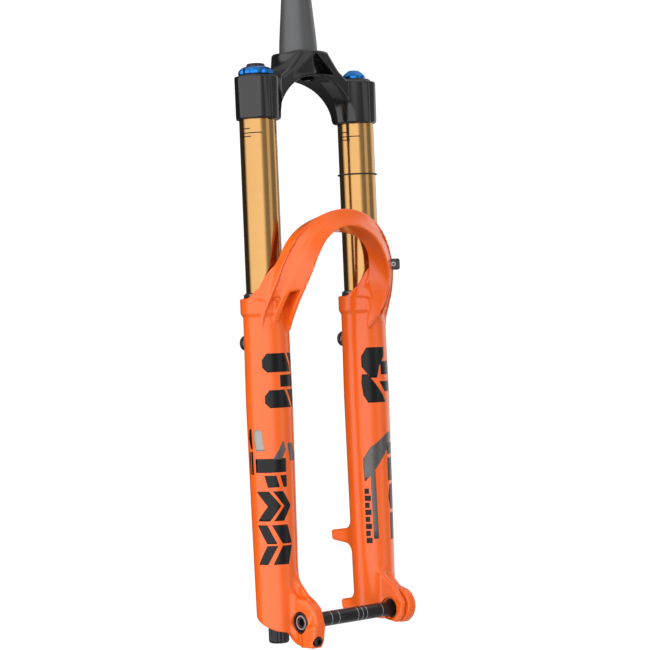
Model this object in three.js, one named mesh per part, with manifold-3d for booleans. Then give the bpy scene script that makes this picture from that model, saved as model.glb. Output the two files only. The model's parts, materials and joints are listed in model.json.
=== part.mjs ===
// Single-crown suspension fork with 170 mm of travel, for a 29 inch wheel.
// Units are millimetres and +Z is up the steering axis. The origin is on that axis at the
// crown race seat. -Y is forwards, -X is the rider's right (damper leg), +X the rider's left
// (air spring and disc brake leg). The fork is drawn at full extension.

import * as THREE from 'three';
import { mergeVertices } from 'three/addons/utils/BufferGeometryUtils.js';
import Module from 'manifold-3d';

const wasm = await Module();
wasm.setup();

// ---- driving dimensions ------------------------------------------------------------------
const AXLE_TO_CROWN = 584;      // crown race seat down to the axle
const RAKE = 44;                // axle ahead of the steering axis
const LEG_X = 67;               // half the distance between the two legs
const LEG_Y = -10;              // leg axes sit this far ahead of the steering axis
const TRAVEL = 170;
const HUB_HALF = 55;            // half of the 110 mm hub
const AXLE_R = 7.5;
const STANCHION_R = 19;
const STANCHION_WALL = 2;
const STEERER_LENGTH = 200;
const STEERER_BASE_R = 19.9;    // 1.5 inch crown race
const STEERER_TOP_R = 14.3;     // 1 1/8 inch stem clamp
const STEERER_TAPER_TOP = 75;
const CROWN_TOP = 0;
const CROWN_LEG_TOP = -30;
const CROWN_BOTTOM = -75;
const SOCKET_R = 23.2;
const STANCHION_BOTTOM = -390;
const SEAL_TOP = -250;
const COLLAR_TOP = -256;
const COLLAR_BOTTOM = -272;
const COLLAR_R = 25.3;
const LEG_FLOOR = -572;         // inside floor of both legs
const LEG_BOTTOM_REAR = -580.5;
const LEG_BOTTOM_FRONT = -592.5;
const BORE_R = 20.9;            // bored for the bushings
const LOWER_BORE_R = 20.1;
const SHAFT_R = 4;
const GAP = 0.3;                // running and assembly clearance

const AXLE_Y = -RAKE;
const AXLE_Z = -AXLE_TO_CROWN;
const STANCHION_BORE_R = STANCHION_R - STANCHION_WALL;
const SIDES = 36;               // facets on every large round piece
const MID_SIDES = 24;
const SMALL_SIDES = 16;
const RIGHT = -1;
const LEFT = 1;

// ---- materials ---------------------------------------------------------------------------
const finish = (color, roughness, metalness) =>
  new THREE.MeshStandardMaterial({ color, roughness, metalness });
const ORANGE = finish(0xf4661b, 0.25, 0);
const BLACK_GLOSS = finish(0x0b0b0c, 0.12, 0);
const GREY_STEERER = finish(0x5a5b5d, 0.45, 0.6);
const GOLD = finish(0xc48a3c, 0.22, 1);
const BLUE = finish(0x1667c9, 0.25, 1);
const BLACK_METAL = finish(0x202124, 0.35, 0.8);
const SILVER = finish(0xb9bcc0, 0.3, 1);
const RUBBER = finish(0x161616, 0.7, 0);
const FOAM = finish(0x3a3a3a, 0.95, 0);
const POLYMER = finish(0x1b1b1c, 0.5, 0);
const BRONZE = finish(0x9a6f3c, 0.4, 1);

// ---- solid helpers -----------------------------------------------------------------------
function toSolid(geometry) {
  const bare = geometry.clone();
  bare.deleteAttribute('normal');
  bare.deleteAttribute('uv');
  const merged = mergeVertices(bare, 1e-4);
  const mesh = new wasm.Mesh({
    numProp: 3,
    vertProperties: new Float32Array(merged.attributes.position.array),
    triVerts: new Uint32Array(merged.index.array),
  });
  return new wasm.Manifold(mesh);
}

function toGeometry(solid) {
  const { vertProperties, triVerts } = solid.getMesh();
  const geometry = new THREE.BufferGeometry();
  geometry.setAttribute('position', new THREE.BufferAttribute(new Float32Array(vertProperties), 3));
  geometry.setIndex(new THREE.BufferAttribute(new Uint32Array(triVerts), 1));
  geometry.computeVertexNormals();
  return geometry;
}

const union = (...parts) => parts.reduce((sum, part) => sum.add(part));
const cut = (body, ...tools) => tools.reduce((rest, tool) => rest.subtract(tool), body);

// A solid of revolution about the line x, y, from [radius, z] points.
function turned(profile, x = 0, y = 0, sides = SIDES) {
  const closed = [...profile, profile[0]].map(([r, z]) => new THREE.Vector2(r, z));
  const geometry = new THREE.LatheGeometry(closed.reverse(), sides);
  geometry.rotateX(Math.PI / 2);
  geometry.translate(x, y, 0);
  const solid = toSolid(geometry);
  return solid.volume() > 0 ? solid : toSolid(flipped(geometry));
}

function flipped(geometry) {
  const copy = geometry.clone();
  const index = copy.index.array;
  for (let i = 0; i < index.length; i += 3) [index[i], index[i + 1]] = [index[i + 1], index[i]];
  return copy;
}

const rod = (r, z0, z1, x = 0, y = 0, sides = SIDES) =>
  turned([[0, z0], [r, z0], [r, z1], [0, z1]], x, y, sides);

const pipe = (outer, inner, z0, z1, x = 0, y = 0, sides = SIDES) =>
  turned([[inner, z0], [outer, z0], [outer, z1], [inner, z1]], x, y, sides);

// A cylinder from one point to another.
function bar(from, to, r, sides = SMALL_SIDES) {
  const a = new THREE.Vector3(...from);
  const b = new THREE.Vector3(...to);
  const geometry = new THREE.CylinderGeometry(r, r, a.distanceTo(b), sides);
  const turn = new THREE.Quaternion().setFromUnitVectors(
    new THREE.Vector3(0, 1, 0), b.clone().sub(a).normalize());
  geometry.applyQuaternion(turn);
  geometry.translate(...a.add(b).multiplyScalar(0.5).toArray());
  return toSolid(geometry);
}

function block(x0, x1, y0, y1, z0, z1) {
  const geometry = new THREE.BoxGeometry(x1 - x0, y1 - y0, z1 - z0);
  geometry.translate((x0 + x1) / 2, (y0 + y1) / 2, (z0 + z1) / 2);
  return toSolid(geometry);
}

// A plate whose outline is drawn in Y and Z, between two X planes.
function sidePlate(outline, x0, x1) {
  const shape = new THREE.Shape(outline.map(([y, z]) => new THREE.Vector2(y, z)));
  const geometry = new THREE.ExtrudeGeometry(shape, { depth: x1 - x0, bevelEnabled: false });
  geometry.applyMatrix4(new THREE.Matrix4().set(0, 0, 1, x0, 1, 0, 0, 0, 0, 1, 0, 0, 0, 0, 0, 1));
  return toSolid(geometry);
}

// A plate whose outline is drawn in X and Z, between two Y planes.
function frontPlate(outline, y0, y1) {
  const shape = new THREE.Shape(outline.map(([x, z]) => new THREE.Vector2(x, z)));
  const geometry = new THREE.ExtrudeGeometry(shape, { depth: y1 - y0, bevelEnabled: false });
  geometry.applyMatrix4(new THREE.Matrix4().set(1, 0, 0, 0, 0, 0, -1, y1, 0, 1, 0, 0, 0, 0, 0, 1));
  return toSolid(geometry);
}

// A closed skin through rings of points that all have the same count.
function loft(rings) {
  const count = rings[0].length;
  const points = rings.flat();
  const index = [];
  for (let k = 0; k + 1 < rings.length; k += 1) {
    for (let i = 0; i < count; i += 1) {
      const j = (i + 1) % count;
      const a = k * count;
      index.push(a + i, a + j, a + count + j, a + i, a + count + j, a + count + i);
    }
  }
  const last = (rings.length - 1) * count;
  for (let i = 1; i + 1 < count; i += 1) {
    index.push(0, i + 1, i);
    index.push(last, last + i, last + i + 1);
  }
  const geometry = new THREE.BufferGeometry();
  geometry.setAttribute('position', new THREE.Float32BufferAttribute(points.flat(), 3));
  geometry.setIndex(index);
  const solid = toSolid(geometry);
  return solid.volume() > 0 ? solid : toSolid(flipped(geometry));
}

const arcPoints = (cy, cz, r, from, to, steps) =>
  Array.from({ length: steps + 1 }, (_, i) => {
    const t = THREE.MathUtils.degToRad(from + ((to - from) * i) / steps);
    return [cy + r * Math.cos(t), cz + r * Math.sin(t)];
  });

// ---- the assembly ------------------------------------------------------------------------
const fork = new THREE.Group();

function place(name, solid, material, parent = fork) {
  const mesh = new THREE.Mesh(toGeometry(solid), material);
  mesh.name = name;
  parent.add(mesh);
}

// ---- steerer and crown -------------------------------------------------------------------
const STEERER_FOOT = -24;
const STEERER_WALL = 2.4;
const CROWN_ARCH_TOP = -29.5;
const CROWN_ARCH_HALF = 44;
const BOSS_R = 28;

function makeSteerer() {
  const outer = [
    [STEERER_BASE_R, STEERER_FOOT], [STEERER_BASE_R, 5],
    [STEERER_TOP_R, STEERER_TAPER_TOP], [STEERER_TOP_R, STEERER_LENGTH],
  ];
  const inner = [
    [STEERER_TOP_R - STEERER_WALL, STEERER_LENGTH],
    [STEERER_TOP_R - STEERER_WALL, STEERER_TAPER_TOP],
    [STEERER_BASE_R - 2 * STEERER_WALL, 0], [STEERER_BASE_R - 2 * STEERER_WALL, STEERER_FOOT],
  ];
  return turned([...outer, ...inner]);
}

const mirrored = (half) => [...half, ...half.map(([x, v]) => [-x, v]).reverse()];

// Front view: shoulders slope down to the sockets over half an ellipse underneath.
function crownFront() {
  const steps = 10;
  const rise = CROWN_ARCH_TOP - CROWN_BOTTOM;
  const quarter = Array.from({ length: steps + 1 }, (_, i) => {
    const t = (Math.PI * (i + 0.5)) / (2 * steps + 1);
    return [CROWN_ARCH_HALF * Math.cos(t), CROWN_BOTTOM + rise * Math.sin(t)];
  });
  const arch = [[CROWN_ARCH_HALF, CROWN_BOTTOM], ...quarter.slice(0, steps)].reverse();
  const shoulder = [
    [LEG_X, CROWN_BOTTOM], [LEG_X, CROWN_LEG_TOP - 3], [48, CROWN_LEG_TOP - 1],
    [40, -23], [28, -13], [18, -3],
  ];
  return mirrored([...arch, ...shoulder]);
}

// Plan view: the arms swell round the steerer and narrow towards the sockets.
function crownPlan() {
  const front = [[LEG_X, -22], [46, -20.5], [30, -24], [14, -27.5]];
  const rear = [[14, 22], [30, 11], [46, 1], [LEG_X, 1]];
  return [...front, ...front.map(([x, y]) => [-x, y]).reverse(),
    ...rear.map(([x, y]) => [-x, y]).reverse(), ...rear];
}

function makeCrown() {
  const plan = new THREE.ExtrudeGeometry(
    new THREE.Shape(crownPlan().map(([x, y]) => new THREE.Vector2(x, y))),
    { depth: 90, bevelEnabled: false });
  plan.translate(0, 0, -85);
  const bridge = frontPlate(crownFront(), -40, 40).intersect(toSolid(plan));
  const boss = rod(BOSS_R, CROWN_ARCH_TOP - 2, CROWN_TOP);
  const socket = (side) => turned([
    [0, CROWN_BOTTOM], [SOCKET_R - 0.8, CROWN_BOTTOM], [SOCKET_R, CROWN_BOTTOM + 1.5],
    [SOCKET_R + 0.7, CROWN_LEG_TOP - 2], [SOCKET_R - 1, CROWN_LEG_TOP], [0, CROWN_LEG_TOP],
  ], side * LEG_X, LEG_Y);
  const solid = union(bridge, boss, socket(RIGHT), socket(LEFT));
  const frontPocket = frontPlate([[0, -6], [-13, -25], [13, -25]], -40, -22.5);
  const steererHole = rod(STEERER_BASE_R + GAP, STEERER_FOOT - GAP, CROWN_TOP + 1);
  const underHole = rod(STEERER_BASE_R - 5, CROWN_ARCH_TOP - 20, CROWN_TOP);
  const bores = [RIGHT, LEFT].map((side) =>
    rod(STANCHION_R + GAP, CROWN_BOTTOM - 1, CROWN_LEG_TOP + 1, side * LEG_X, LEG_Y));
  return cut(solid, frontPocket, steererHole, underHole, ...bores);
}

place('steerer_tube', makeSteerer(), GREY_STEERER);
place('crown', makeCrown(), BLACK_GLOSS);

// ---- stanchions --------------------------------------------------------------------------
const STANCHION_TOP = CROWN_LEG_TOP - 1;
const sideName = (side) => (side === RIGHT ? 'right' : 'left');
for (const side of [RIGHT, LEFT]) {
  place(`stanchion_${sideName(side)}`,
    pipe(STANCHION_R, STANCHION_BORE_R, STANCHION_BOTTOM, STANCHION_TOP, side * LEG_X, LEG_Y),
    GOLD);
}

// ---- damper in the right leg -------------------------------------------------------------
const DX = RIGHT * LEG_X;
const CARTRIDGE_R = 13;
const CARTRIDGE_BORE = 11.5;
const CARTRIDGE_TOP = -44;
const CARTRIDGE_BOTTOM = -318;
const SEAL_HEAD_TOP = -302;
const PISTON_TOP = -285;
const PISTON_HEIGHT = 14;
const BASE_VALVE_TOP = -94;
const STEM_R = 3.5;

function makeDamperTopCap() {
  const cap = turned([
    [0, CARTRIDGE_TOP + GAP], [STANCHION_BORE_R - GAP, CARTRIDGE_TOP + GAP],
    [STANCHION_BORE_R - GAP, STANCHION_TOP + GAP], [18.4, STANCHION_TOP + GAP],
    [18.4, CROWN_LEG_TOP + 0.8], [0, CROWN_LEG_TOP + 0.8],
  ], DX, LEG_Y);
  const stem = rod(STEM_R, BASE_VALVE_TOP + GAP, CARTRIDGE_TOP + 2, DX, LEG_Y, SMALL_SIDES);
  const spindleHole = rod(5.2, CARTRIDGE_TOP + 8, 0, DX, LEG_Y, SMALL_SIDES);
  return cut(union(cap, stem), spindleHole);
}

function makeDial() {
  const bottom = CROWN_LEG_TOP + 1.1;
  const body = turned([
    [6.2, bottom], [17.6, bottom], [18.4, bottom + 2.6], [17.6, bottom + 6.4],
    [14.4, bottom + 8.4], [6.2, bottom + 8.4],
  ], DX, LEG_Y);
  const scallops = Array.from({ length: 8 }, (_, i) => {
    const a = (Math.PI / 4) * (i + 0.5);
    return rod(6, bottom - 1, bottom + 12, DX + 22.2 * Math.cos(a), LEG_Y + 22.2 * Math.sin(a),
      SMALL_SIDES);
  });
  return cut(body, ...scallops);
}

function makeKnob() {
  const spindle = CARTRIDGE_TOP + 9;
  const knob = turned([
    [0, spindle], [4.8, spindle], [4.8, CROWN_LEG_TOP + 1.2], [5.9, CROWN_LEG_TOP + 1.2],
    [5.9, -20.2], [9.6, -20.2], [9.2, -17.6], [5.4, -15.4], [0, -14.8],
  ], DX, LEG_Y, MID_SIDES);
  const slot = block(DX - 0.8, DX + 0.8, LEG_Y - 12, LEG_Y + 12, -16.4, -10);
  return cut(knob, slot);
}

const shaftHole = (top, bottom, x) => rod(SHAFT_R + GAP, bottom - 1, top + 1, x, LEG_Y, SMALL_SIDES);

place('damper_top_cap', makeDamperTopCap(), BLACK_METAL);
place('compression_dial', makeDial(), BLUE);
place('compression_knob', makeKnob(), BLACK_METAL);
place('damper_cartridge_tube',
  pipe(CARTRIDGE_R, CARTRIDGE_BORE, CARTRIDGE_BOTTOM, CARTRIDGE_TOP, DX, LEG_Y, MID_SIDES), SILVER);
place('floating_piston',
  pipe(CARTRIDGE_BORE - GAP, STEM_R + GAP, -88, -78, DX, LEG_Y, MID_SIDES), BLACK_METAL);
place('base_valve', rod(CARTRIDGE_BORE - GAP, BASE_VALVE_TOP - 14, BASE_VALVE_TOP, DX, LEG_Y, MID_SIDES),
  BRONZE);
place('damper_seal_head', cut(
  rod(CARTRIDGE_BORE - GAP, CARTRIDGE_BOTTOM + 1, SEAL_HEAD_TOP, DX, LEG_Y, MID_SIDES),
  shaftHole(SEAL_HEAD_TOP, CARTRIDGE_BOTTOM, DX)), BLACK_METAL);
place('damper_piston',
  rod(CARTRIDGE_BORE - GAP, PISTON_TOP - PISTON_HEIGHT, PISTON_TOP, DX, LEG_Y, MID_SIDES), BRONZE);
place('damper_shaft', cut(
  rod(SHAFT_R, LEG_BOTTOM_REAR, PISTON_TOP - PISTON_HEIGHT - GAP, DX, LEG_Y, SMALL_SIDES),
  rod(1.6, LEG_BOTTOM_REAR - 1, PISTON_TOP - PISTON_HEIGHT - 3, DX, LEG_Y, 12)), SILVER);

// ---- air spring in the left leg ----------------------------------------------------------
const AX = LEFT * LEG_X;
const AIR_SEAL_TOP = STANCHION_BOTTOM + 18;
const AIR_PISTON_TOP = -348;
const AIR_PISTON_HEIGHT = 13;
const SPACER_HEIGHT = 17;
const AIR_CAP_FOOT = -52;

function makeAirTopCap() {
  const cap = turned([
    [3.2, AIR_CAP_FOOT], [STANCHION_BORE_R - GAP, AIR_CAP_FOOT],
    [STANCHION_BORE_R - GAP, STANCHION_TOP + GAP], [18.4, STANCHION_TOP + GAP],
    [18.4, CROWN_LEG_TOP + 0.8], [16.4, CROWN_LEG_TOP + 2.6], [3.2, CROWN_LEG_TOP + 2.6],
  ], AX, LEG_Y);
  return cap;
}

function makeValveCap() {
  const base = CROWN_LEG_TOP + 3;
  const flats = new THREE.CylinderGeometry(9, 12.9, 5, 6);
  flats.rotateX(Math.PI / 2);
  flats.translate(AX, LEG_Y, base + 5);
  const cap = union(rod(12.6, base, base + 3, AX, LEG_Y, MID_SIDES), toSolid(flats),
    rod(7.4, base + 7, base + 9.4, AX, LEG_Y, SMALL_SIDES));
  return cut(cap, rod(4.6, base - 1, base + 7, AX, LEG_Y, SMALL_SIDES));
}

place('air_top_cap', makeAirTopCap(), BLACK_METAL);
place('air_valve', rod(2.9, AIR_CAP_FOOT, CROWN_LEG_TOP + 9, AX, LEG_Y, SMALL_SIDES), BRONZE);
place('air_valve_cap', makeValveCap(), BLUE);
for (const number of [1, 2]) {
  const top = AIR_CAP_FOOT - GAP - (number - 1) * (SPACER_HEIGHT + GAP);
  place(`volume_spacer_${number}`,
    pipe(13.5, 4, top - SPACER_HEIGHT, top, AX, LEG_Y, MID_SIDES), ORANGE);
}
place('air_seal_head', cut(
  rod(STANCHION_BORE_R - GAP, STANCHION_BOTTOM + 0.5, AIR_SEAL_TOP, AX, LEG_Y),
  shaftHole(AIR_SEAL_TOP, STANCHION_BOTTOM, AX)), SILVER);
place('air_piston',
  rod(STANCHION_BORE_R - GAP, AIR_PISTON_TOP - AIR_PISTON_HEIGHT, AIR_PISTON_TOP, AX, LEG_Y),
  BLACK_METAL);
place('air_shaft',
  rod(SHAFT_R, LEG_BOTTOM_REAR, AIR_PISTON_TOP - AIR_PISTON_HEIGHT - GAP, AX, LEG_Y, SMALL_SIDES),
  SILVER);
place('top_out_bumper',
  pipe(10, SHAFT_R + GAP, AIR_SEAL_TOP + 1, AIR_PISTON_TOP - AIR_PISTON_HEIGHT - GAP, AX, LEG_Y, MID_SIDES),
  RUBBER);
place('bottom_out_bumper',
  pipe(11, SHAFT_R + GAP, LEG_FLOOR + GAP, STANCHION_BOTTOM - TRAVEL - 2, AX, LEG_Y, MID_SIDES), RUBBER);

// ---- travel ring on the left stanchion ---------------------------------------------------
const RING_Z = -128;
const RING_WIRE = 0.9;
function makeTravelRing() {
  const wire = Array.from({ length: 6 }, (_, i) => {
    const t = (Math.PI * i) / 3;
    return [STANCHION_R + GAP + RING_WIRE * (1 + Math.cos(t)), RING_Z + RING_WIRE * Math.sin(t)];
  });
  return turned(wire, AX, LEG_Y);
}
place('travel_ring', makeTravelRing(), RUBBER);

// ---- lowers ------------------------------------------------------------------------------
const LEG_TOP_R = 23.2;
const LEG_MID_R = 23.9;
const LEG_FOOT_R = 22.7;
const CROWN_SWEEP_R = SOCKET_R + 1.4;                      // the arch clears the crown sockets
const CROWN_SWEEP_FOOT = CROWN_BOTTOM - TRAVEL - 1.5;      // when the fork is fully compressed

function legOutside(side) {
  return turned([
    [0, LEG_BOTTOM_FRONT - 4], [LEG_FOOT_R, LEG_BOTTOM_FRONT - 4], [LEG_FOOT_R, -560],
    [LEG_MID_R, -360], [LEG_TOP_R, -288], [LEG_TOP_R, COLLAR_BOTTOM - 4],
    [COLLAR_R, COLLAR_BOTTOM], [COLLAR_R, COLLAR_TOP], [0, COLLAR_TOP],
  ], side * LEG_X, LEG_Y);
}

// Everything below this wedge is trimmed off: the foot of each leg slants down to the front.
function footTrim(side) {
  const x = side * LEG_X;
  return sidePlate([
    [LEG_Y + 36, LEG_BOTTOM_REAR + 3], [LEG_Y - 36, LEG_BOTTOM_FRONT - 3],
    [LEG_Y - 36, -640], [LEG_Y + 36, -640],
  ], x - 40, x + 40);
}

function legInside(side) {
  return turned([
    [0, LEG_FLOOR], [LOWER_BORE_R, LEG_FLOOR], [LOWER_BORE_R, -400], [BORE_R, -400],
    [BORE_R, COLLAR_TOP - 10], [22.6, COLLAR_TOP - 10], [22.6, CROWN_SWEEP_FOOT],
    [CROWN_SWEEP_R, CROWN_SWEEP_FOOT], [CROWN_SWEEP_R, -150], [0, -150],
  ], side * LEG_X, LEG_Y);
}

// Corner curves of the arch. Each is half an ellipse in X and Z about z = centre.
const ARCH_EDGES = {
  frontInner: { a: 61, b: 76, centre: -262, topY: -73, footY: -58 },
  frontOuter: { a: 75, b: 69, centre: -236, topY: -65, footY: -51 },
  rearOuter: { a: 76, b: 61.5, centre: -236, topY: -43, footY: -35 },
  rearInner: { a: 51, b: 60, centre: -240, topY: -39, footY: -31.5 },
};

function archRing(angle) {
  return Object.values(ARCH_EDGES).map(({ a, b, centre, topY, footY }) => {
    const rise = Math.max(Math.sin(angle), 0);
    return [a * Math.cos(angle), footY + (topY - footY) * Math.min(1, 1.5 * rise), centre + b * rise];
  });
}

// Below the curved part each side runs down the front of its leg and dies into it.
function archRoot(side) {
  const corners = (rows) => rows.map(([x, y, z]) => [side * x, y, z]);
  return [
    corners([[63, -46, -284], [70, -40, -274], [82, -22, -264], [49, -22, -264]]),
    corners([[66, -24, -306], [70, -24, -296], [76, -14, -276], [58, -14, -276]]),
  ];
}

function makeArch() {
  const steps = 22;
  const curved = Array.from({ length: steps + 1 }, (_, i) => archRing((Math.PI * i) / steps));
  const start = archRoot(LEFT).reverse();
  return loft([...start, ...curved, ...archRoot(RIGHT)]);
}

// Side view of a dropout: a round end about the axle joined to the leg by a slanting front.
const EARS = {
  [RIGHT]: { r: 24, top: -538, outer: 70, foot: LEG_BOTTOM_FRONT + 4 },
  [LEFT]: { r: 19.5, top: -548, outer: 73, foot: LEG_BOTTOM_FRONT + 5 },
};

function makeEar(side) {
  const { r, top, outer, foot } = EARS[side];
  const outline = [
    [LEG_Y, top], [-32, top], ...arcPoints(AXLE_Y, AXLE_Z, r, 140, 310, 12), [LEG_Y, foot],
  ];
  const [x0, x1] = [side * HUB_HALF, side * outer].sort((a, b) => a - b);
  return sidePlate(outline, x0, x1);
}

const LUG = { front: -67, rear: -39, bottom: -609, inner: -55, outer: -70.5 };
const makeLug = () =>
  block(LUG.outer, LUG.inner, LUG.front, LUG.rear, LUG.bottom, AXLE_Z - 8);

// Disc brake posts: two lugs behind the left leg whose faces share one tilted plane.
const POST = { x: 58, halfWidth: 6.5, lowerY: 26, lowerZ: -584, pitch: 74.2, tilt: 9.2, half: 5.5 };
const TILT = THREE.MathUtils.degToRad(POST.tilt);
const postCentre = (n) => [
  POST.lowerY + n * POST.pitch * Math.sin(TILT), POST.lowerZ + n * POST.pitch * Math.cos(TILT)];

function makePost(n) {
  const [y, z] = postCentre(n);
  const along = [Math.sin(TILT), Math.cos(TILT)];
  const faceTop = [y + POST.half * along[0], z + POST.half * along[1]];
  const faceFoot = [y - POST.half * along[0], z - POST.half * along[1]];
  return sidePlate([
    faceTop, [LEG_Y + 26, z + 7.5], [LEG_Y + 20, z + 12], [LEG_Y, z + 12],
    [LEG_Y, z - (n ? 11 : 6)], [LEG_Y + 22, z - (n ? 8 : 6)], faceFoot,
  ], POST.x - POST.halfWidth, POST.x + POST.halfWidth);
}

function postHole(n) {
  const [y, z] = postCentre(n);
  const out = [Math.cos(TILT), -Math.sin(TILT)];
  return bar([POST.x, y + out[0], z + out[1]], [POST.x, y - 14 * out[0], z - 14 * out[1]], 2.6, 16);
}

// Bleed bosses stand straight back from both legs.
const BLEED = { z: -301, r: 7.4, end: 29, button: 6.3, buttonR: 8, stroke: 1.8 };
const makeBleedBoss = (side) =>
  bar([side * LEG_X, LEG_Y + 21.6, BLEED.z], [side * LEG_X, LEG_Y + BLEED.end, BLEED.z], BLEED.r);
const bleedHole = (side) =>
  bar([side * LEG_X, LEG_Y + 15, BLEED.z], [side * LEG_X, LEG_Y + 40, BLEED.z], 2.4, 16);

const GUIDE = { x0: 75, x1: 85, y0: -50, y1: -38, z0: -231, z1: -219 };
const GUIDE_SCREW = { y: -47, z: -225, r: 1.6, headR: 2.6 };
const SLEEVE_R = 10.9;
const RECESS_R = 11.4;
const RECESS_DEPTH = 3;
const PINCH = { x: -63.5, z: -601.5 };
const FOOT_RECESS_TOP = -579;

function lowersHoles() {
  const axleHole = bar([-HUB_HALF - 20, AXLE_Y, AXLE_Z], [-HUB_HALF, AXLE_Y, AXLE_Z], SLEEVE_R + GAP, MID_SIDES);
  const nutHole = bar([HUB_HALF + RECESS_DEPTH, AXLE_Y, AXLE_Z], [HUB_HALF + 20, AXLE_Y, AXLE_Z],
    9.5 + GAP, MID_SIDES);
  const hubRecess = (side) => bar([side * (HUB_HALF - 1), AXLE_Y, AXLE_Z],
    [side * (HUB_HALF + RECESS_DEPTH), AXLE_Y, AXLE_Z], RECESS_R, MID_SIDES);
  const slit = block(-74, -53, -48.6, -47.4, LUG.bottom - 1, AXLE_Z - 6);
  const pinchHole = bar([PINCH.x, -72, PINCH.z], [PINCH.x, -40.5, PINCH.z], 3.2, 16);
  const pinchHead = bar([PINCH.x, -72, PINCH.z], [PINCH.x, -62, PINCH.z], 5.2, 20);
  const foot = (side) => [
    rod(SHAFT_R + GAP, FOOT_RECESS_TOP - 4, LEG_FLOOR + 2, side * LEG_X, LEG_Y, SMALL_SIDES),
    rod(11.2, -640, FOOT_RECESS_TOP, side * LEG_X, LEG_Y, MID_SIDES),
  ];
  return [axleHole, nutHole, hubRecess(LEFT), slit, pinchHole, pinchHead,
    ...foot(RIGHT), ...foot(LEFT), bleedHole(RIGHT), bleedHole(LEFT), postHole(0), postHole(1)];
}

function makeLowers() {
  const legs = cut(union(legOutside(RIGHT), legOutside(LEFT)), footTrim(RIGHT), footTrim(LEFT));
  const solid = union(legs, makeArch(), makeEar(RIGHT), makeEar(LEFT), makePost(0), makePost(1),
    makeBleedBoss(RIGHT), makeBleedBoss(LEFT), makeLug());
  const guideSeat = block(GUIDE.x0 - GAP, 100, GUIDE.y0 - GAP, GUIDE.y1 + GAP, GUIDE.z0 - GAP,
    GUIDE.z1 + GAP);
  const screwHole = bar([62, GUIDE_SCREW.y, GUIDE_SCREW.z], [80, GUIDE_SCREW.y, GUIDE_SCREW.z],
    GUIDE_SCREW.r + GAP);
  return cut(solid, legInside(RIGHT), legInside(LEFT), guideSeat, screwHole, ...lowersHoles());
}
place('lowers', makeLowers(), ORANGE);

// ---- seals, foam rings and bushings in the legs ------------------------------------------
const FOAM_TOP = COLLAR_TOP - 10 - GAP;
const INNER_R = STANCHION_R + GAP;
for (const side of [RIGHT, LEFT]) {
  const x = side * LEG_X;
  const name = sideName(side);
  place(`wiper_seal_${name}`, turned([
    [INNER_R, COLLAR_TOP - 9.6], [22.3, COLLAR_TOP - 9.6], [22.3, COLLAR_TOP + GAP],
    [21.9, COLLAR_TOP + 2], [20.2, SEAL_TOP], [INNER_R, SEAL_TOP],
  ], x, LEG_Y), RUBBER);
  place(`foam_ring_${name}`, pipe(BORE_R - GAP, INNER_R, FOAM_TOP - 9, FOAM_TOP, x, LEG_Y), FOAM);
  place(`bushing_upper_${name}`,
    pipe(BORE_R - GAP, INNER_R, FOAM_TOP - 30, FOAM_TOP - 10, x, LEG_Y), BRONZE);
  place(`bushing_lower_${name}`, pipe(BORE_R - GAP, INNER_R, -388, -364, x, LEG_Y), BRONZE);
  place(`bleed_button_${name}`, union(
    bar([x, LEG_Y + BLEED.end + BLEED.stroke + GAP, BLEED.z],
      [x, LEG_Y + BLEED.end + BLEED.button, BLEED.z],
      BLEED.buttonR, MID_SIDES),
    bar([x, LEG_Y + BORE_R + GAP, BLEED.z], [x, LEG_Y + BLEED.end + 3, BLEED.z], 2, 16)), BLACK_METAL);
}

// ---- foot bolts and rebound adjusters ----------------------------------------------------
const WASHER_TOP = FOOT_RECESS_TOP - GAP;
const BOLT_TOP = WASHER_TOP - 1.5 - GAP;
for (const side of [RIGHT, LEFT]) {
  const x = side * LEG_X;
  const name = sideName(side);
  place(`crush_washer_${name}`, pipe(8, SHAFT_R + GAP, WASHER_TOP - 1.5, WASHER_TOP, x, LEG_Y, 24), SILVER);
  place(`foot_nut_${name}`, cut(
    rod(7.5, BOLT_TOP - 7, BOLT_TOP, x, LEG_Y, 6), shaftHole(BOLT_TOP, BOLT_TOP - 7, x)), BLACK_METAL);
}
const ADJUSTER_TOP = BOLT_TOP - 7 - GAP;
place('rebound_adjuster_outer', pipe(6.4, 3.4, ADJUSTER_TOP - 9, ADJUSTER_TOP, DX, LEG_Y, 16), BLUE);
place('rebound_adjuster_inner', union(
  rod(3, ADJUSTER_TOP - 12, ADJUSTER_TOP, DX, LEG_Y, 16),
  block(DX - 2, DX + 2, LEG_Y - 0.8, LEG_Y + 0.8, ADJUSTER_TOP - 14, ADJUSTER_TOP - 11)), SILVER);

function makeReboundCover() {
  const bottom = -608.5;
  const cover = turned([
    [0, bottom + 2.6], [8.4, bottom + 2.6], [8.4, -585], [10.5, -585], [10.5, bottom + 1],
    [9.5, bottom], [0, bottom],
  ], DX, LEG_Y, SIDES);
  const flutes = Array.from({ length: 16 }, (_, i) => {
    const a = (Math.PI * 2 * i) / 16;
    return rod(0.9, bottom + 1.5, -594, DX + 10.9 * Math.cos(a), LEG_Y + 10.9 * Math.sin(a), 8);
  });
  return cut(cover, ...flutes);
}
place('rebound_cover', makeReboundCover(), POLYMER);

// ---- axle group --------------------------------------------------------------------------
const HEAD_OUT = -70.2;
const HEAD_IN = -63.5;
function makeAxle() {
  const shaft = bar([HEAD_IN - 2, AXLE_Y, AXLE_Z], [66, AXLE_Y, AXLE_Z], AXLE_R, 32);
  const head = bar([HEAD_OUT, AXLE_Y, AXLE_Z], [HEAD_IN, AXLE_Y, AXLE_Z], 8.8, 32);
  const socket = bar([HEAD_OUT - 1, AXLE_Y, AXLE_Z], [HEAD_OUT + 5, AXLE_Y, AXLE_Z], 3.5, 6);
  const hollow = bar([HEAD_IN + 4, AXLE_Y, AXLE_Z], [70, AXLE_Y, AXLE_Z], 5, 20);
  return cut(shaft.add(head), socket, hollow);
}

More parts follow.
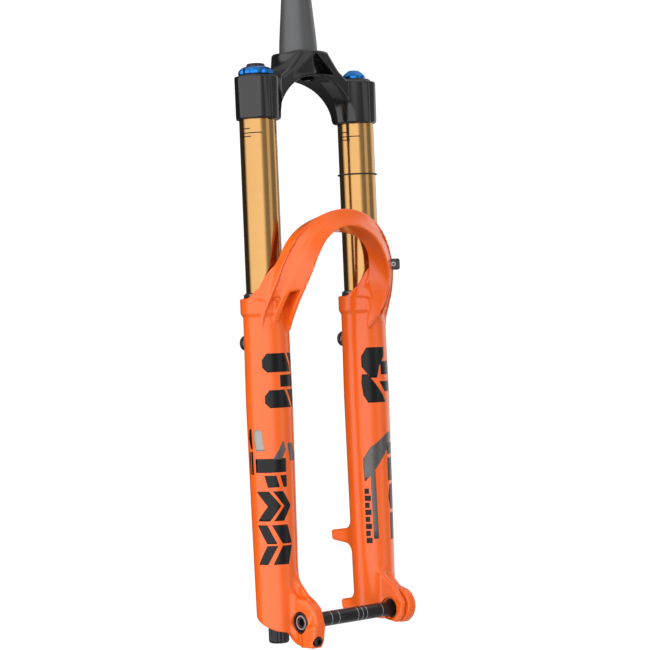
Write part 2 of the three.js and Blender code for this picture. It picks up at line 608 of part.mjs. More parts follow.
function makeSleeve() {
  const outside = bar([HEAD_OUT - 0.6, AXLE_Y, AXLE_Z], [-HUB_HALF - 0.2, AXLE_Y, AXLE_Z], SLEEVE_R, MID_SIDES);
  const through = bar([-80, AXLE_Y, AXLE_Z], [-40, AXLE_Y, AXLE_Z], AXLE_R + GAP, 32);
  const headSeat = bar([-80, AXLE_Y, AXLE_Z], [HEAD_IN + GAP, AXLE_Y, AXLE_Z], 8.8 + GAP, 32);
  return cut(outside, through, headSeat);
}

function makeAxleNut() {
  const outside = bar([HUB_HALF + RECESS_DEPTH + GAP, AXLE_Y, AXLE_Z], [71.5, AXLE_Y, AXLE_Z], 9.5, MID_SIDES);
  const through = bar([40, AXLE_Y, AXLE_Z], [80, AXLE_Y, AXLE_Z], AXLE_R + GAP, 32);
  return cut(outside, through);
}

function makePinchBolt() {
  const shank = bar([PINCH.x, -66, PINCH.z], [PINCH.x, -41.2, PINCH.z], 2.8, 16);
  const head = bar([PINCH.x, -68.2, PINCH.z], [PINCH.x, -62 - GAP, PINCH.z], 4.8, 20);
  const socket = bar([PINCH.x, -70, PINCH.z], [PINCH.x, -65.5, PINCH.z], 2.2, 6);
  return cut(shank.add(head), socket);
}

place('axle', makeAxle(), BLACK_METAL);
place('axle_sleeve', makeSleeve(), BLACK_METAL);
place('axle_nut', makeAxleNut(), BLACK_METAL);
place('pinch_bolt', makePinchBolt(), SILVER);

// ---- hose guide on the left of the arch --------------------------------------------------
function makeHoseGuide() {
  const body = block(GUIDE.x0, GUIDE.x1, GUIDE.y0, GUIDE.y1, GUIDE.z0, GUIDE.z1);
  const hose = bar([81, -41.6, GUIDE.z0 - 1], [81, -41.6, GUIDE.z1 + 1], 2.6);
  const screw = bar([60, GUIDE_SCREW.y, GUIDE_SCREW.z], [90, GUIDE_SCREW.y, GUIDE_SCREW.z],
    GUIDE_SCREW.r + GAP);
  return cut(body, hose, screw);
}

function makeGuideScrew() {
  const { y, z, r, headR } = GUIDE_SCREW;
  const shank = bar([64, y, z], [GUIDE.x1 + 1, y, z], r);
  const head = bar([GUIDE.x1 + GAP, y, z], [GUIDE.x1 + 2.4, y, z], headR);
  return cut(shank.add(head), bar([GUIDE.x1 + 1.2, y, z], [GUIDE.x1 + 3, y, z], 1.4, 6));
}
place('hose_guide', makeHoseGuide(), POLYMER);
place('hose_guide_screw', makeGuideScrew(), SILVER);

export default fork;
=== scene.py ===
# %% [markdown]
# # A bicycle suspension fork, made round its own engineering model
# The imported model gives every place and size, and this lesson gives the fork its finished surfaces.
# Shapes are written in millimetres, because that is how a fork is drawn, and turned into metres
# only when a mesh is made.

# %% The frame and the CAD box
import json

import bpy
import bmesh
import numpy as np
from mathutils import Matrix, Vector


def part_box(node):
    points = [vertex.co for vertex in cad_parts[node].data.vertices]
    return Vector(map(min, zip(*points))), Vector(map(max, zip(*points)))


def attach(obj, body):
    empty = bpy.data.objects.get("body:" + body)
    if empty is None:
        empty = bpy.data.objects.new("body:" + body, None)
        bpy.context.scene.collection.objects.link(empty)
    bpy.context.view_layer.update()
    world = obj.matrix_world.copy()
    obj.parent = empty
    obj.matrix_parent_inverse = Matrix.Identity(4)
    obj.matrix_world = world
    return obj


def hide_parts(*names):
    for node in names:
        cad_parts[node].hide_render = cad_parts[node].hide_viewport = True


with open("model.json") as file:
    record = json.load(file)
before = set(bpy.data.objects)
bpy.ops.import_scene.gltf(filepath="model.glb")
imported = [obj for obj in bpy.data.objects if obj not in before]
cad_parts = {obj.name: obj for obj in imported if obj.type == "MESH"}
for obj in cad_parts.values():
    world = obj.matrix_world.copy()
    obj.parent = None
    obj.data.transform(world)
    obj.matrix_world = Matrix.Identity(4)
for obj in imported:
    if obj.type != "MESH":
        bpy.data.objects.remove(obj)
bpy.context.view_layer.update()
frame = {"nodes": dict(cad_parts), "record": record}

MM = 0.001


def corners(node):
    """Lowest and highest corner of a CAD node, in millimetres."""
    low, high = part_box(node)
    return np.array(low) / MM, np.array(high) / MM


def measured(node, axis=0):
    """Lowest corner, highest corner and half the width of a CAD node along one axis."""
    low, high = corners(node)
    return low, high, (high[axis] - low[axis]) / 2


stanchion_low, stanchion_high, STANCHION_R = measured("stanchion_left")
LEG_X, LEG_Y = ((stanchion_low + stanchion_high) / 2)[:2]
axle_low, axle_high = corners("axle")
AXLE_Y, AXLE_Z = ((axle_low + axle_high) / 2)[1:]
SIDES = {"right": -1, "left": 1}


def leg_axis(side):
    """Where one leg's axis meets the height of the crown race."""
    return (side * LEG_X, LEG_Y, 0)


def from_leg(side, y):
    """Distance from the leg's axis, for a point given by its distance from the middle plane."""
    return np.hypot(side - LEG_X, y - LEG_Y)


print("legs at", LEG_X, LEG_Y, "axle at", AXLE_Y, AXLE_Z)

# %% [markdown]
# ## Camera, floor and light
# The camera stands ahead of the rider's right leg, just below the wiper seals, with a long lens and
# a slight roll. A fork is all gloss, and what a glossy tube shows is the room round it. So the room is
# a world of soft panels, placed by their bearing from the camera's side: one broad panel on the left,
# one narrow strip on the right, a rim panel behind, and a soft ceiling.

# %% Camera
CAMERA_BEARING = np.radians(-41.3)
CAMERA_ROLL = np.radians(2.37)
CAMERA_DISTANCE = 2178.7
CAMERA_ASIDE = 16.1
CAMERA_HEIGHT = -285.6
SENSOR = 36.0
LENS = 115.7

across = np.array([np.cos(CAMERA_BEARING), np.sin(CAMERA_BEARING), 0.0])
ahead = np.array([-np.sin(CAMERA_BEARING), np.cos(CAMERA_BEARING), 0.0])
upward = np.array([0.0, 0.0, 1.0])


def make_camera():
    """A camera whose own axes are the rolled right and up, and the way back from the fork."""
    data = bpy.data.cameras.new("camera")
    data.lens, data.sensor_width = LENS, SENSOR
    camera = bpy.data.objects.new("camera", data)
    bpy.context.scene.collection.objects.link(camera)
    right = np.cos(CAMERA_ROLL) * across - np.sin(CAMERA_ROLL) * upward
    up = np.sin(CAMERA_ROLL) * across + np.cos(CAMERA_ROLL) * upward
    place = (CAMERA_ASIDE * across - CAMERA_DISTANCE * ahead + CAMERA_HEIGHT * upward) * MM
    turn = Matrix(np.column_stack([right, up, -ahead]).tolist())
    camera.matrix_world = Matrix.Translation(place) @ turn.to_4x4()
    bpy.context.scene.camera = camera


make_camera()

# %% Node helpers
def node(tree, kind, **settings):
    """Adds a shader node, sets its properties, and links or sets the inputs given by name."""
    made = tree.nodes.new(kind)
    inputs = settings.pop("inputs", {})
    for key, value in settings.items():
        setattr(made, key, value)
    for key, value in inputs.items():
        if isinstance(value, bpy.types.NodeSocket):
            tree.links.new(value, made.inputs[key])
        else:
            made.inputs[key].default_value = value
    return made


def math_node(tree, operation, *values):
    """One Math node; a value may be a number or another node's output."""
    return node(tree, "ShaderNodeMath", operation=operation, inputs=dict(enumerate(values))).outputs[0]


# %% The room of soft panels
PANELS = [  # bearing in degrees to the right of the camera's side, and brightness from there on
    (-180, 0.06), (-100, 0.06), (-84, 2.1), (12, 2.25), (28, 0.6), (50, 0.45), (58, 1.3),
    (70, 1.3), (80, 0.45), (108, 0.45), (118, 1.5), (150, 1.4), (160, 0.08), (180, 0.06),
]
CEILING, FLOOR_GLOW, BACKDROP = 0.95, 0.16, 1.06


def make_room():
    """World brightness = panel ramp over the bearing, blended to the ceiling and the floor."""
    world = bpy.data.worlds.new("studio")
    bpy.context.scene.world = world
    world.use_nodes = True
    tree = world.node_tree
    tree.nodes.clear()
    direction = node(tree, "ShaderNodeTexCoord").outputs["Generated"]

    def along(axis):
        dot = node(tree, "ShaderNodeVectorMath", operation="DOT_PRODUCT",
                inputs={0: direction, 1: tuple(axis)})
        return dot.outputs["Value"]

    bearing = math_node(tree, "ARCTAN2", along(across), along(-ahead))
    turns = math_node(tree, "MULTIPLY_ADD", bearing, 0.5 / np.pi, 0.5)
    ramp = node(tree, "ShaderNodeValToRGB", inputs={"Fac": turns})
    stops = ramp.color_ramp.elements
    while len(stops) > 1:
        stops.remove(stops[0])
    for place, glow in PANELS:
        stop = stops.new((place + 180) / 360)
        stop.color = (glow, glow, glow, 1)
    stops.remove(stops[0])
    rise = along(upward)
    high = node(tree, "ShaderNodeMapRange", interpolation_type="SMOOTHSTEP",
            inputs={"Value": rise, "From Min": 0.55, "From Max": 0.8}).outputs[0]
    low = node(tree, "ShaderNodeMapRange", interpolation_type="SMOOTHSTEP",
            inputs={"Value": rise, "From Min": -0.35, "From Max": -0.6}).outputs[0]

    def blend(fraction, first, level):
        mix = node(tree, "ShaderNodeMix", data_type="RGBA", inputs={"Factor": fraction})
        tree.links.new(first, mix.inputs["A"])
        mix.inputs["B"].default_value = (level, level, level, 1)
        return mix.outputs["Result"]

    room = blend(low, blend(high, ramp.outputs["Color"], CEILING), FLOOR_GLOW)
    seen = blend(node(tree, "ShaderNodeLightPath").outputs["Is Camera Ray"], room, BACKDROP)
    background = node(tree, "ShaderNodeBackground", inputs={"Color": seen, "Strength": 1.0})
    output = node(tree, "ShaderNodeOutputWorld")
    tree.links.new(background.outputs[0], output.inputs["Surface"])


make_room()
bpy.context.scene.view_settings.view_transform = "Standard"

# %% Surfaces from arrays
def skin(name, points, faces, body, slot, replaced=(), crease=32, material=None):
    """Makes one piece from points in millimetres and faces, merges doubles, and rides it on a body."""
    mesh = bpy.data.meshes.new(name)
    mesh.from_pydata((np.asarray(points, float) * MM).tolist(), [], np.asarray(faces).tolist())
    work = bmesh.new()
    work.from_mesh(mesh)
    bmesh.ops.remove_doubles(work, verts=work.verts, dist=1e-7)
    bmesh.ops.dissolve_degenerate(work, edges=work.edges, dist=1e-8)
    bmesh.ops.recalc_face_normals(work, faces=work.faces)
    work.to_mesh(mesh)
    work.free()
    mesh.polygons.foreach_set("use_smooth", np.ones(len(mesh.polygons), bool))
    mesh.set_sharp_from_angle(angle=np.radians(crease))
    piece = bpy.data.objects.new(name, mesh)
    bpy.context.scene.collection.objects.link(piece)
    mesh.materials.append(material or MATERIALS[slot])
    if replaced:
        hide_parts(*replaced)
    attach(piece, body)
    print(f"{name}: {len(mesh.polygons)} faces")
    return piece


def grid_faces(rows, columns, close_rows=False, close_columns=False):
    """Quads of a grid of points numbered row by row, closed on itself where asked."""
    i = np.arange(rows if close_rows else rows - 1)[:, None]
    j = np.arange(columns if close_columns else columns - 1)[None, :]
    following_i, following_j = (i + 1) % rows, (j + 1) % columns
    quads = [i * columns + j, i * columns + following_j,
            following_i * columns + following_j, following_i * columns + j]
    return np.stack(np.broadcast_arrays(*quads), -1).reshape(-1, 4)


def softened(profile, radius, steps=4):
    """Rounds the corners of a profile: each corner becomes a quadratic arc of about that radius."""
    points = np.asarray(profile, float)
    rounded = []
    for before, corner, after in zip(np.roll(points, 1, 0), points, np.roll(points, -1, 0)):
        reach = [min(radius, 0.45 * np.linalg.norm(end - corner)) for end in (before, after)]
        start, stop = [corner + (end - corner) / max(np.linalg.norm(end - corner), 1e-9) * step
                for end, step in zip((before, after), reach)]
        t = np.linspace(0, 1, steps + 1)[:, None]
        rounded.append((1 - t) ** 2 * start + 2 * t * (1 - t) * corner + t ** 2 * stop)
    return np.concatenate(rounded)


def revolved(profile, centre, axis="z", turns=96, shape=None):
    """Points and quads of a closed profile of (radius, height) carried once round an axis.

    The radius may depend on the bearing: shape(radius, height, bearing) gives the new radius.
    """
    bearing = np.linspace(0, 2 * np.pi, turns, endpoint=False)[None, :]
    radius = np.repeat(profile[:, :1], turns, 1)
    height = np.repeat(profile[:, 1:], turns, 1)
    if shape:
        radius = shape(radius, height, bearing)
    u, v = radius * np.cos(bearing), radius * np.sin(bearing)
    order = {"z": (u, v, height), "y": (v, height, u), "x": (height, u, v)}[axis]
    points = np.stack(order, -1).reshape(-1, 3) + np.asarray(centre, float)
    return points, grid_faces(len(profile), turns, close_rows=True, close_columns=True)


def turned(name, profile, centre, body, slot, replaced=(), soft=0.4, **more):
    """A lathe-turned piece."""
    axis, turns, shape = more.pop("axis", "z"), more.pop("turns", 96), more.pop("shape", None)
    frame_axes = more.pop("frame_axes", np.eye(3))
    points, faces = revolved(softened(profile, soft), (0, 0, 0), axis, turns, shape)
    points = points @ np.asarray(frame_axes) + np.asarray(centre, float)
    return skin(name, points, faces, body, slot, replaced, **more)


# %% [markdown]
# ## Shared finishes
# Fine detail comes from three node groups: the ripple of sprayed lacquer, the fine rings left by a
# lathe, and the speckle that keeps a moulded or blasted face from looking like glass. Each group puts
# out a height for a Bump node and a mask that varies colour or roughness.

# %% Shader groups
def new_group(name, inputs, mask):
    """A shader group with inputs {name: default}, a height and a mask to put out, and a place."""
    group = bpy.data.node_groups.new(name, "ShaderNodeTree")
    for label, default in inputs.items():
        socket = group.interface.new_socket(label, in_out="INPUT", socket_type="NodeSocketFloat")
        socket.default_value = default
    for label in ("Height", mask):
        group.interface.new_socket(label, in_out="OUTPUT", socket_type="NodeSocketFloat")
    given, out = group.nodes.new("NodeGroupInput"), group.nodes.new("NodeGroupOutput")
    return group, given, out, node(group, "ShaderNodeTexCoord").outputs["Object"]


def noise(tree, place, scale, detail=3.0, rough=0.5):
    return node(tree, "ShaderNodeTexNoise",
            inputs={"Vector": place, "Scale": scale, "Detail": detail, "Roughness": rough})


def lacquer_group():
    """Orange-peel ripple at one scale, and slow drift of colour and gloss at a larger one."""
    group, given, out, place = new_group(
        "lacquer_ripple", {"Ripple Scale": 900, "Drift Scale": 14}, "Drift")
    ripple = noise(group, place, given.outputs["Ripple Scale"], 2.0)
    drift = noise(group, place, given.outputs["Drift Scale"], 4.0)
    group.links.new(ripple.outputs["Fac"], out.inputs["Height"])
    group.links.new(drift.outputs["Fac"], out.inputs["Drift"])
    return group


def lathe_group():
    """Fine rings along one axis: a noise stretched so that it only varies with height."""
    group, given, out, place = new_group(
        "lathe_rings", {"Rings per metre": 4000, "Around": 6}, "Streak")
    parts = node(group, "ShaderNodeSeparateXYZ", inputs={0: place})
    height = math_node(group, "MULTIPLY", parts.outputs["Z"], given.outputs["Rings per metre"])
    side_x = math_node(group, "MULTIPLY", parts.outputs["X"], given.outputs["Around"])
    side_y = math_node(group, "MULTIPLY", parts.outputs["Y"], given.outputs["Around"])
    stretched = node(group, "ShaderNodeCombineXYZ", inputs={0: side_x, 1: side_y, 2: height})
    rings = noise(group, stretched.outputs[0], 1.0, 3.0)
    streak = noise(group, stretched.outputs[0], 0.03, 3.0)
    group.links.new(rings.outputs["Fac"], out.inputs["Height"])
    group.links.new(streak.outputs["Fac"], out.inputs["Streak"])
    return group


def speckle_group():
    """Blasted or moulded skin: two sizes of noise for the relief, and a soft cloud for the tone."""
    group, given, out, place = new_group(
        "speckle", {"Scale": 1500, "Cloud Scale": 30}, "Cloud")
    fine = noise(group, place, given.outputs["Scale"], 4.0, 0.6)
    cloud = noise(group, place, given.outputs["Cloud Scale"], 3.0)
    group.links.new(fine.outputs["Fac"], out.inputs["Height"])
    group.links.new(cloud.outputs["Fac"], out.inputs["Cloud"])
    return group


GROUPS = {"lacquer": lacquer_group(), "lathe": lathe_group(), "speckle": speckle_group()}
print("shader groups:", sorted(GROUPS))

# %% One recipe for every finish
def finish(name, group, tones, roughness, relief, scales=(), **surface):
    """A Principled material: the group's mask blends two tones and two roughnesses, its height bumps.

    tones is (darker, lighter), roughness is (low, high), relief is (strength, depth in metres).
    """
    material = bpy.data.materials.new(name)
    material.use_nodes = True
    tree = material.node_tree
    tree.nodes.clear()
    pattern = node(tree, "ShaderNodeGroup", node_tree=GROUPS[group])
    for index, value in enumerate(scales):
        pattern.inputs[index].default_value = value
    height, mask = pattern.outputs[0], pattern.outputs[1]
    spread = node(tree, "ShaderNodeMapRange", inputs={"Value": mask, "From Min": 0.3, "From Max": 0.7})
    colour = node(tree, "ShaderNodeMix", data_type="RGBA", inputs={"Factor": spread.outputs[0]})
    colour.inputs["A"].default_value = (*tones[0], 1)
    colour.inputs["B"].default_value = (*tones[1], 1)
    gloss = node(tree, "ShaderNodeMapRange", inputs={
        "Value": mask, "From Min": 0.3, "From Max": 0.7, "To Min": roughness[0], "To Max": roughness[1]})
    bump = node(tree, "ShaderNodeBump",
            inputs={"Height": height, "Strength": relief[0], "Distance": relief[1]})
    shader = node(tree, "ShaderNodeBsdfPrincipled", inputs={
        "Base Color": colour.outputs["Result"], "Roughness": gloss.outputs[0],
        "Normal": bump.outputs[0], **surface})
    output = node(tree, "ShaderNodeOutputMaterial")
    tree.links.new(shader.outputs[0], output.inputs["Surface"])
    return material


METAL = {"Metallic": 1.0}
MATERIALS = {
    "orange_casting": finish("orange_lacquer", "lacquer", ((0.77, 0.104, 0.0055), (0.82, 0.118, 0.007)),
        (0.20, 0.26), (0.04, 0.0002), (700, 9)),
    "black_forging": finish("black_lacquer", "lacquer", ((0.0035, 0.0035, 0.004), (0.006, 0.006, 0.0065)),
        (0.12, 0.18), (0.012, 0.0002), (400, 16)),
    "grey_steerer": finish("hard_anodise", "speckle", ((0.078, 0.079, 0.082), (0.094, 0.095, 0.098)),
        (0.42, 0.5), (0.06, 0.0002), (2200, 20), Metallic=0.5),
    "gold_anodised": finish("gold_anodise", "lathe", ((0.405, 0.226, 0.082), (0.420, 0.236, 0.087)),
        (0.12, 0.16), (0.004, 0.00002), (6000, 20), **METAL),
    "blue_anodised": finish("blue_anodise", "speckle", ((0.012, 0.125, 0.40), (0.020, 0.165, 0.50)),
        (0.18, 0.25), (0.05, 0.0001), (1800, 40), **METAL),
    "black_anodised": finish("black_anodise", "speckle", ((0.014, 0.014, 0.016), (0.024, 0.024, 0.026)),
        (0.26, 0.36), (0.06, 0.0001), (2200, 40), Metallic=0.6),
    "bare_aluminium": finish("turned_aluminium", "lathe", ((0.40, 0.40, 0.42), (0.48, 0.48, 0.50)),
        (0.24, 0.34), (0.12, 0.0001), (3500, 30), **METAL),
    "bright_steel": finish("polished_steel", "lathe", ((0.30, 0.30, 0.32), (0.38, 0.38, 0.40)),
        (0.16, 0.26), (0.06, 0.0001), (5000, 30), **METAL),
    "brass_valve": finish("machined_brass", "lathe", ((0.36, 0.25, 0.09), (0.44, 0.31, 0.13)),
        (0.22, 0.32), (0.10, 0.0001), (3500, 30), **METAL),
    "bushing_bronze": finish("bearing_bronze", "speckle", ((0.22, 0.15, 0.08), (0.30, 0.21, 0.12)),
        (0.4, 0.55), (0.15, 0.0001), (1500, 60), Metallic=0.9),
    "seal_rubber": finish("nitrile_rubber", "speckle", ((0.006, 0.006, 0.006), (0.012, 0.012, 0.012)),
        (0.42, 0.55), (0.15, 0.0002), (1800, 50)),
    "oil_foam": finish("oiled_foam", "speckle", ((0.03, 0.03, 0.03), (0.08, 0.08, 0.08)),
        (0.7, 0.9), (0.8, 0.0006), (700, 80)),
    "black_polymer": finish("moulded_nylon", "speckle", ((0.007, 0.007, 0.008), (0.013, 0.013, 0.014)),
        (0.32, 0.44), (0.12, 0.0002), (1300, 40)),
    "orange_polymer": finish("moulded_spacer", "speckle", ((0.60, 0.18, 0.02), (0.70, 0.24, 0.03)),
        (0.3, 0.4), (0.08, 0.0002), (1300, 40)),
}
DECAL_BLACK = finish("decal_black", "speckle", ((0.003, 0.003, 0.004), (0.005, 0.005, 0.006)),
        (0.22, 0.28), (0.03, 0.0001), (1500, 30), **{"Specular IOR Level": 0.22})
DECAL_GREY = finish("decal_grey", "speckle", ((0.085, 0.08, 0.078), (0.105, 0.10, 0.096)),
        (0.26, 0.32), (0.03, 0.0001), (1500, 30), Metallic=0.5)
DECAL_SILVER = finish("decal_silver", "speckle", ((0.24, 0.225, 0.21), (0.30, 0.28, 0.26)),
        (0.26, 0.32), (0.03, 0.0001), (1500, 30), Metallic=0.6)

for name, cad_object in frame["nodes"].items():
    slot_name = next(s["material_slot"] for s in frame["record"]["subparts"] if s["node"] == name)
    cad_object.data.materials.clear()
    cad_object.data.materials.append(MATERIALS[slot_name])

# %% [markdown]
# ## Castings and forgings as fields
# The lower legs are one casting: tubes, an arch, dropouts and brake posts that run into each other
# with generous fillets. Such a form is hard to draw as patches and easy to write as a field: a
# function that is negative inside the metal and grows like a distance outside it. Two shapes join by
# a smooth minimum, whose width is the fillet. The skin is then found by surface nets: one point in
# each grid cell that the surface crosses, pushed onto the exact surface by Newton's method.

# %% Field tools
def fillet(first, second, width):
    """Union of two fields with a fillet of that width."""
    overlap = np.maximum(width - np.abs(first - second), 0) / width
    return np.minimum(first, second) - overlap ** 2 * width / 4


def both(first, second, width):
    """Intersection of two fields with a rounded edge of that width."""
    return -fillet(-first, -second, width)


def carve(body, tool, width):
    """Takes the tool away from the body, with a rounded edge."""
    return both(body, -tool, width)


def slab(value, low, high, width=0.01):
    """The band between two limits along one coordinate."""
    return both(low - value, value - high, width)


def drum(u, v, along, centre, radius, low, high, width):
    """A cylinder: the distance from its axis and from its two ends, with a rounded rim."""
    return both(np.hypot(u - centre[0], v - centre[1]) - radius, slab(along, low, high), width)


def outline(u, v, corner_list):
    """Signed distance to a polygon: the nearest edge, negative inside by the crossing rule."""
    points = np.asarray(corner_list, float)
    nearest = np.full(u.shape, 1e9)
    sign = np.ones(u.shape)
    for a, b in zip(points, np.roll(points, 1, 0)):
        edge = b - a
        du, dv = u - a[0], v - a[1]
        share = np.clip((du * edge[0] + dv * edge[1]) / (edge @ edge), 0, 1)
        nearest = np.minimum(nearest, (du - edge[0] * share) ** 2 + (dv - edge[1] * share) ** 2)
        above_a, above_b = v >= a[1], v < b[1]
        turning = edge[0] * dv > edge[1] * du
        flip = (above_a & above_b & turning) | (~above_a & ~above_b & ~turning)
        sign = np.where(flip, -sign, sign)
    return sign * np.sqrt(nearest)


def curve(heights, values, blur=7.0):
    """A smooth curve through points given bottom to top: straight pieces, then a running mean."""
    dense = np.arange(heights[0] - 30, heights[-1] + 30, 0.5)
    window = np.ones(int(blur / 0.5)) / int(blur / 0.5)
    straight = np.interp(dense, heights, values)
    padded = np.pad(straight, len(window), mode="edge")
    smooth = np.convolve(padded, window, "same")[len(window):-len(window)]
    return lambda z: np.interp(z, dense, smooth)


# %% Surface nets
CORNERS = np.array([(i, j, k) for i in (0, 1) for j in (0, 1) for k in (0, 1)])
CELL_EDGES = [(a, b) for a in range(8) for b in range(a + 1, 8)
        if np.abs(CORNERS[a] - CORNERS[b]).sum() == 1]
COARSE = 4


def sampled(field, xs, ys, zs):
    """Field values on the grid: every fourth node first, then only the nodes near the surface."""
    thin = [np.append(axis[:-1:COARSE], axis[-1]) for axis in (xs, ys, zs)]
    rough = field(*np.meshgrid(*thin, indexing="ij"))
    picks = [np.abs(axis[:, None] - few[None, :]).argmin(1) for axis, few in zip((xs, ys, zs), thin)]
    values = rough[np.ix_(*picks)]
    reach = max(np.diff(few).max() for few in thin) * 1.8
    near = np.abs(values) < reach
    index = np.nonzero(near)
    values[near] = field(xs[index[0]], ys[index[1]], zs[index[2]])
    return values


def surface_net(field, xs, ys, zs, steps=3):
    """Points and quads of the surface where the field is zero."""
    values = sampled(field, xs, ys, zs)
    inside = values < 0
    shape = np.array(values.shape) - 1
    corner_in = np.stack([inside[i:i + shape[0], j:j + shape[1], k:k + shape[2]]
            for i, j, k in CORNERS])
    mixed = corner_in.any(0) & ~corner_in.all(0)
    cells = np.argwhere(mixed)
    number = np.full(shape, -1)
    number[mixed] = np.arange(len(cells))
    axes = (xs, ys, zs)
    total, count = np.zeros((len(cells), 3)), np.zeros((len(cells), 1))
    for a, b in CELL_EDGES:
        at_a, at_b = cells + CORNERS[a], cells + CORNERS[b]
        value_a, value_b = values[tuple(at_a.T)], values[tuple(at_b.T)]
        crossed = (value_a < 0) != (value_b < 0)
        share = np.where(crossed, value_a / np.where(crossed, value_a - value_b, 1), 0)[:, None]
        place_a = np.stack([axis[i] for axis, i in zip(axes, at_a.T)], -1)
        place_b = np.stack([axis[i] for axis, i in zip(axes, at_b.T)], -1)
        total += np.where(crossed[:, None], place_a + share * (place_b - place_a), 0)
        count += crossed[:, None]
    points = total / count
    for _ in range(steps):
        points = pushed(field, points)
    return points, net_faces(inside, number)


def pushed(field, points, probe=0.05, limit=0.8):
    """One Newton step onto the surface: back along the slope by value over slope squared."""
    value = field(*points.T)
    slope = np.stack([(field(*(points + probe * unit).T) - field(*(points - probe * unit).T))
            / (2 * probe) for unit in np.eye(3)], -1)
    step = -(value / np.maximum((slope ** 2).sum(1), 0.05))[:, None] * slope
    length = np.maximum(np.linalg.norm(step, axis=1, keepdims=True), 1e-9)
    return points + step * np.minimum(1, limit / length)


def net_faces(inside, number):
    """A quad round every grid edge that the surface crosses, turned so that it faces outwards."""
    faces = []
    for axis in range(3):
        ahead_in = np.roll(inside, -1, axis)
        crossed = inside != ahead_in
        cut = [slice(1, -1)] * 3
        cut[axis] = slice(0, -1)
        where = np.argwhere(crossed[tuple(cut)]) + [0 if a == axis else 1 for a in range(3)]
        other = [a for a in range(3) if a != axis]
        offsets = np.zeros((4, 3), int)
        for row, (p, q) in enumerate([(-1, -1), (0, -1), (0, 0), (-1, 0)]):
            offsets[row, other[0]], offsets[row, other[1]] = p, q
        quads = number[tuple((where[:, None, :] + offsets[None]).transpose(2, 0, 1))]
        leaving = inside[tuple(where.T)]
        forward = leaving if axis != 1 else ~leaving
        faces.append(np.where(forward[:, None], quads, quads[:, ::-1]))
    joined = np.concatenate(faces)
    return joined[(joined >= 0).all(1)]


def spaced(*stretches):
    """Grid lines from (start, stop, step) stretches laid end to end."""
    pieces = [np.arange(start, stop, step) for start, stop, step in stretches]
    return np.append(np.concatenate(pieces), stretches[-1][1])


# %% [markdown]
# ## The lower legs
# Two tubes taper towards the axle and swell into collars that hold the wiper seals. The arch springs
# from the front of the collars, leans forward over the tyre and is half an ellipse from in front. It
# is pocketed at its feet to save weight. The dropouts reach forward to the axle, so that the wheel
# sits ahead of the legs. Only the upper end of each leg is bored, because the stanchions hide the rest.

# %% The casting's driving shapes
COLLAR_TOP = corners("wiper_seal_right")[1][2] - 6
COLLAR_FOOT = COLLAR_TOP - 16
COLLAR_R = 25.3
ARCH_SPRING = -236
CHANNEL_DEPTH = 3.3
leg_radius = curve([-597, -560, -470, -360, -296, -276], [21.4, 22.0, 23.0, 23.9, 23.25, 23.2], 20)
front_inner = curve([-304, -290, -268, -250, -231, -209, -186],
        [-28, -33, -51.5, -62.5, -70.6, -72.6, -73], 8)
front_outer = curve([-300, -279, -270, -253, -236, -214, -190, -167],
        [-22, -27, -31, -40, -47, -53, -59, -65], 10)
rear_face = curve([-290, -264, -248, -240, -213, -167], [-12, -20, -34, -35.5, -40, -41], 6)
flare_outer = curve([-285, -270, -253, -236, -214, -190], [10, 10, 7.5, 3.4, -0.6, -0.4], 12)
flare_inner = curve([-292, -280, -264, -240, -216, -192], [-7, -3.4, -2.2, -4.0, -3.6, 0], 14)
CROWN_SWEEP_R = 24.6
CROWN_SWEEP_FOOT = -246.5


def ellipse(x, z, half, rise, centre, power=2.0):
    """Distance to an upright half ellipse, squarer for a higher power, straight below its centre."""
    u = np.abs(x) / half + 1e-6
    v = np.maximum(z - centre, 0) / rise
    ring = (u ** power + v ** power) ** (1 / power)
    slope = ring ** (1 - power) * np.hypot(u ** (power - 1) / half, v ** (power - 1) / rise)
    return (ring - 1) / np.maximum(slope, 1e-4)


def arch(side, y, z):
    """Between two half ellipses and two leaning faces, with a channel and pockets in its front."""
    depth = np.clip((rear_face(z) - y) / 30, 0, 1)
    inner = ellipse(side - flare_inner(z) * depth, z, 52 + 9 * depth, 49 + 27 * depth,
            -240 - 22 * depth, 3 - depth)
    outer = ellipse(side - flare_outer(z), z, 76 - 1.0 * depth, 62 + 8.2 * depth, ARCH_SPRING, 2.04)
    share = np.clip(inner / np.maximum(inner - outer, 1e-3), 0, 1)
    rib = np.interp(z, [-285, -256, -214, -190], [0.60, 0.58, 0.47, 0.42])
    fade = np.clip((side - 30) / 30, 0, 1)
    trough = np.clip((share - rib - 0.05) / 0.08, 0, 1) * np.clip((0.98 - share) / 0.08, 0, 1)
    front = (front_inner(z) * (1 - share) + front_outer(z) * share
            + CHANNEL_DEPTH * fade * trough)
    body = both(both(-inner, outer, 2), both(front - y, y - rear_face(z), 2), 1.8)
    body = both(body, -296 - z - 0.4 * (side - LEG_X), 3)
    wide = both(rib + 0.07 - share, share - 0.885, 0.02) * 24
    outer_pocket = both(wide, z + 255.5, 1.0)
    narrow = both(3.6 - inner, (share - rib + 0.10) * 24, 0.5)
    inner_pocket = both(narrow, z + 251 - 0.25 * (LEG_X - side), 1.0)
    return carve(carve(body, outer_pocket, 1.0), inner_pocket, 1.0)


def saddle(side, y, z):
    """The thin wall that carries the arch round the collar and sinks to its rim at the sides."""
    radial = from_leg(side, y)
    facing = (LEG_Y - y) / np.maximum(radial, 1)
    crest = np.interp(facing, [-0.1, 0.12, 0.6, 0.73, 0.83, 1.0],
            [-256.5, -255.2, -246, -238.5, -232, -222])
    bulge = COLLAR_R - 0.6 + 2.5 * np.clip(facing * 1.5, 0, 1)
    wall = both(radial - bulge, 21 - radial, 1.5)
    return both(wall, both((z - crest) * 0.75, -257.3 - z, 0.8), 1.2)


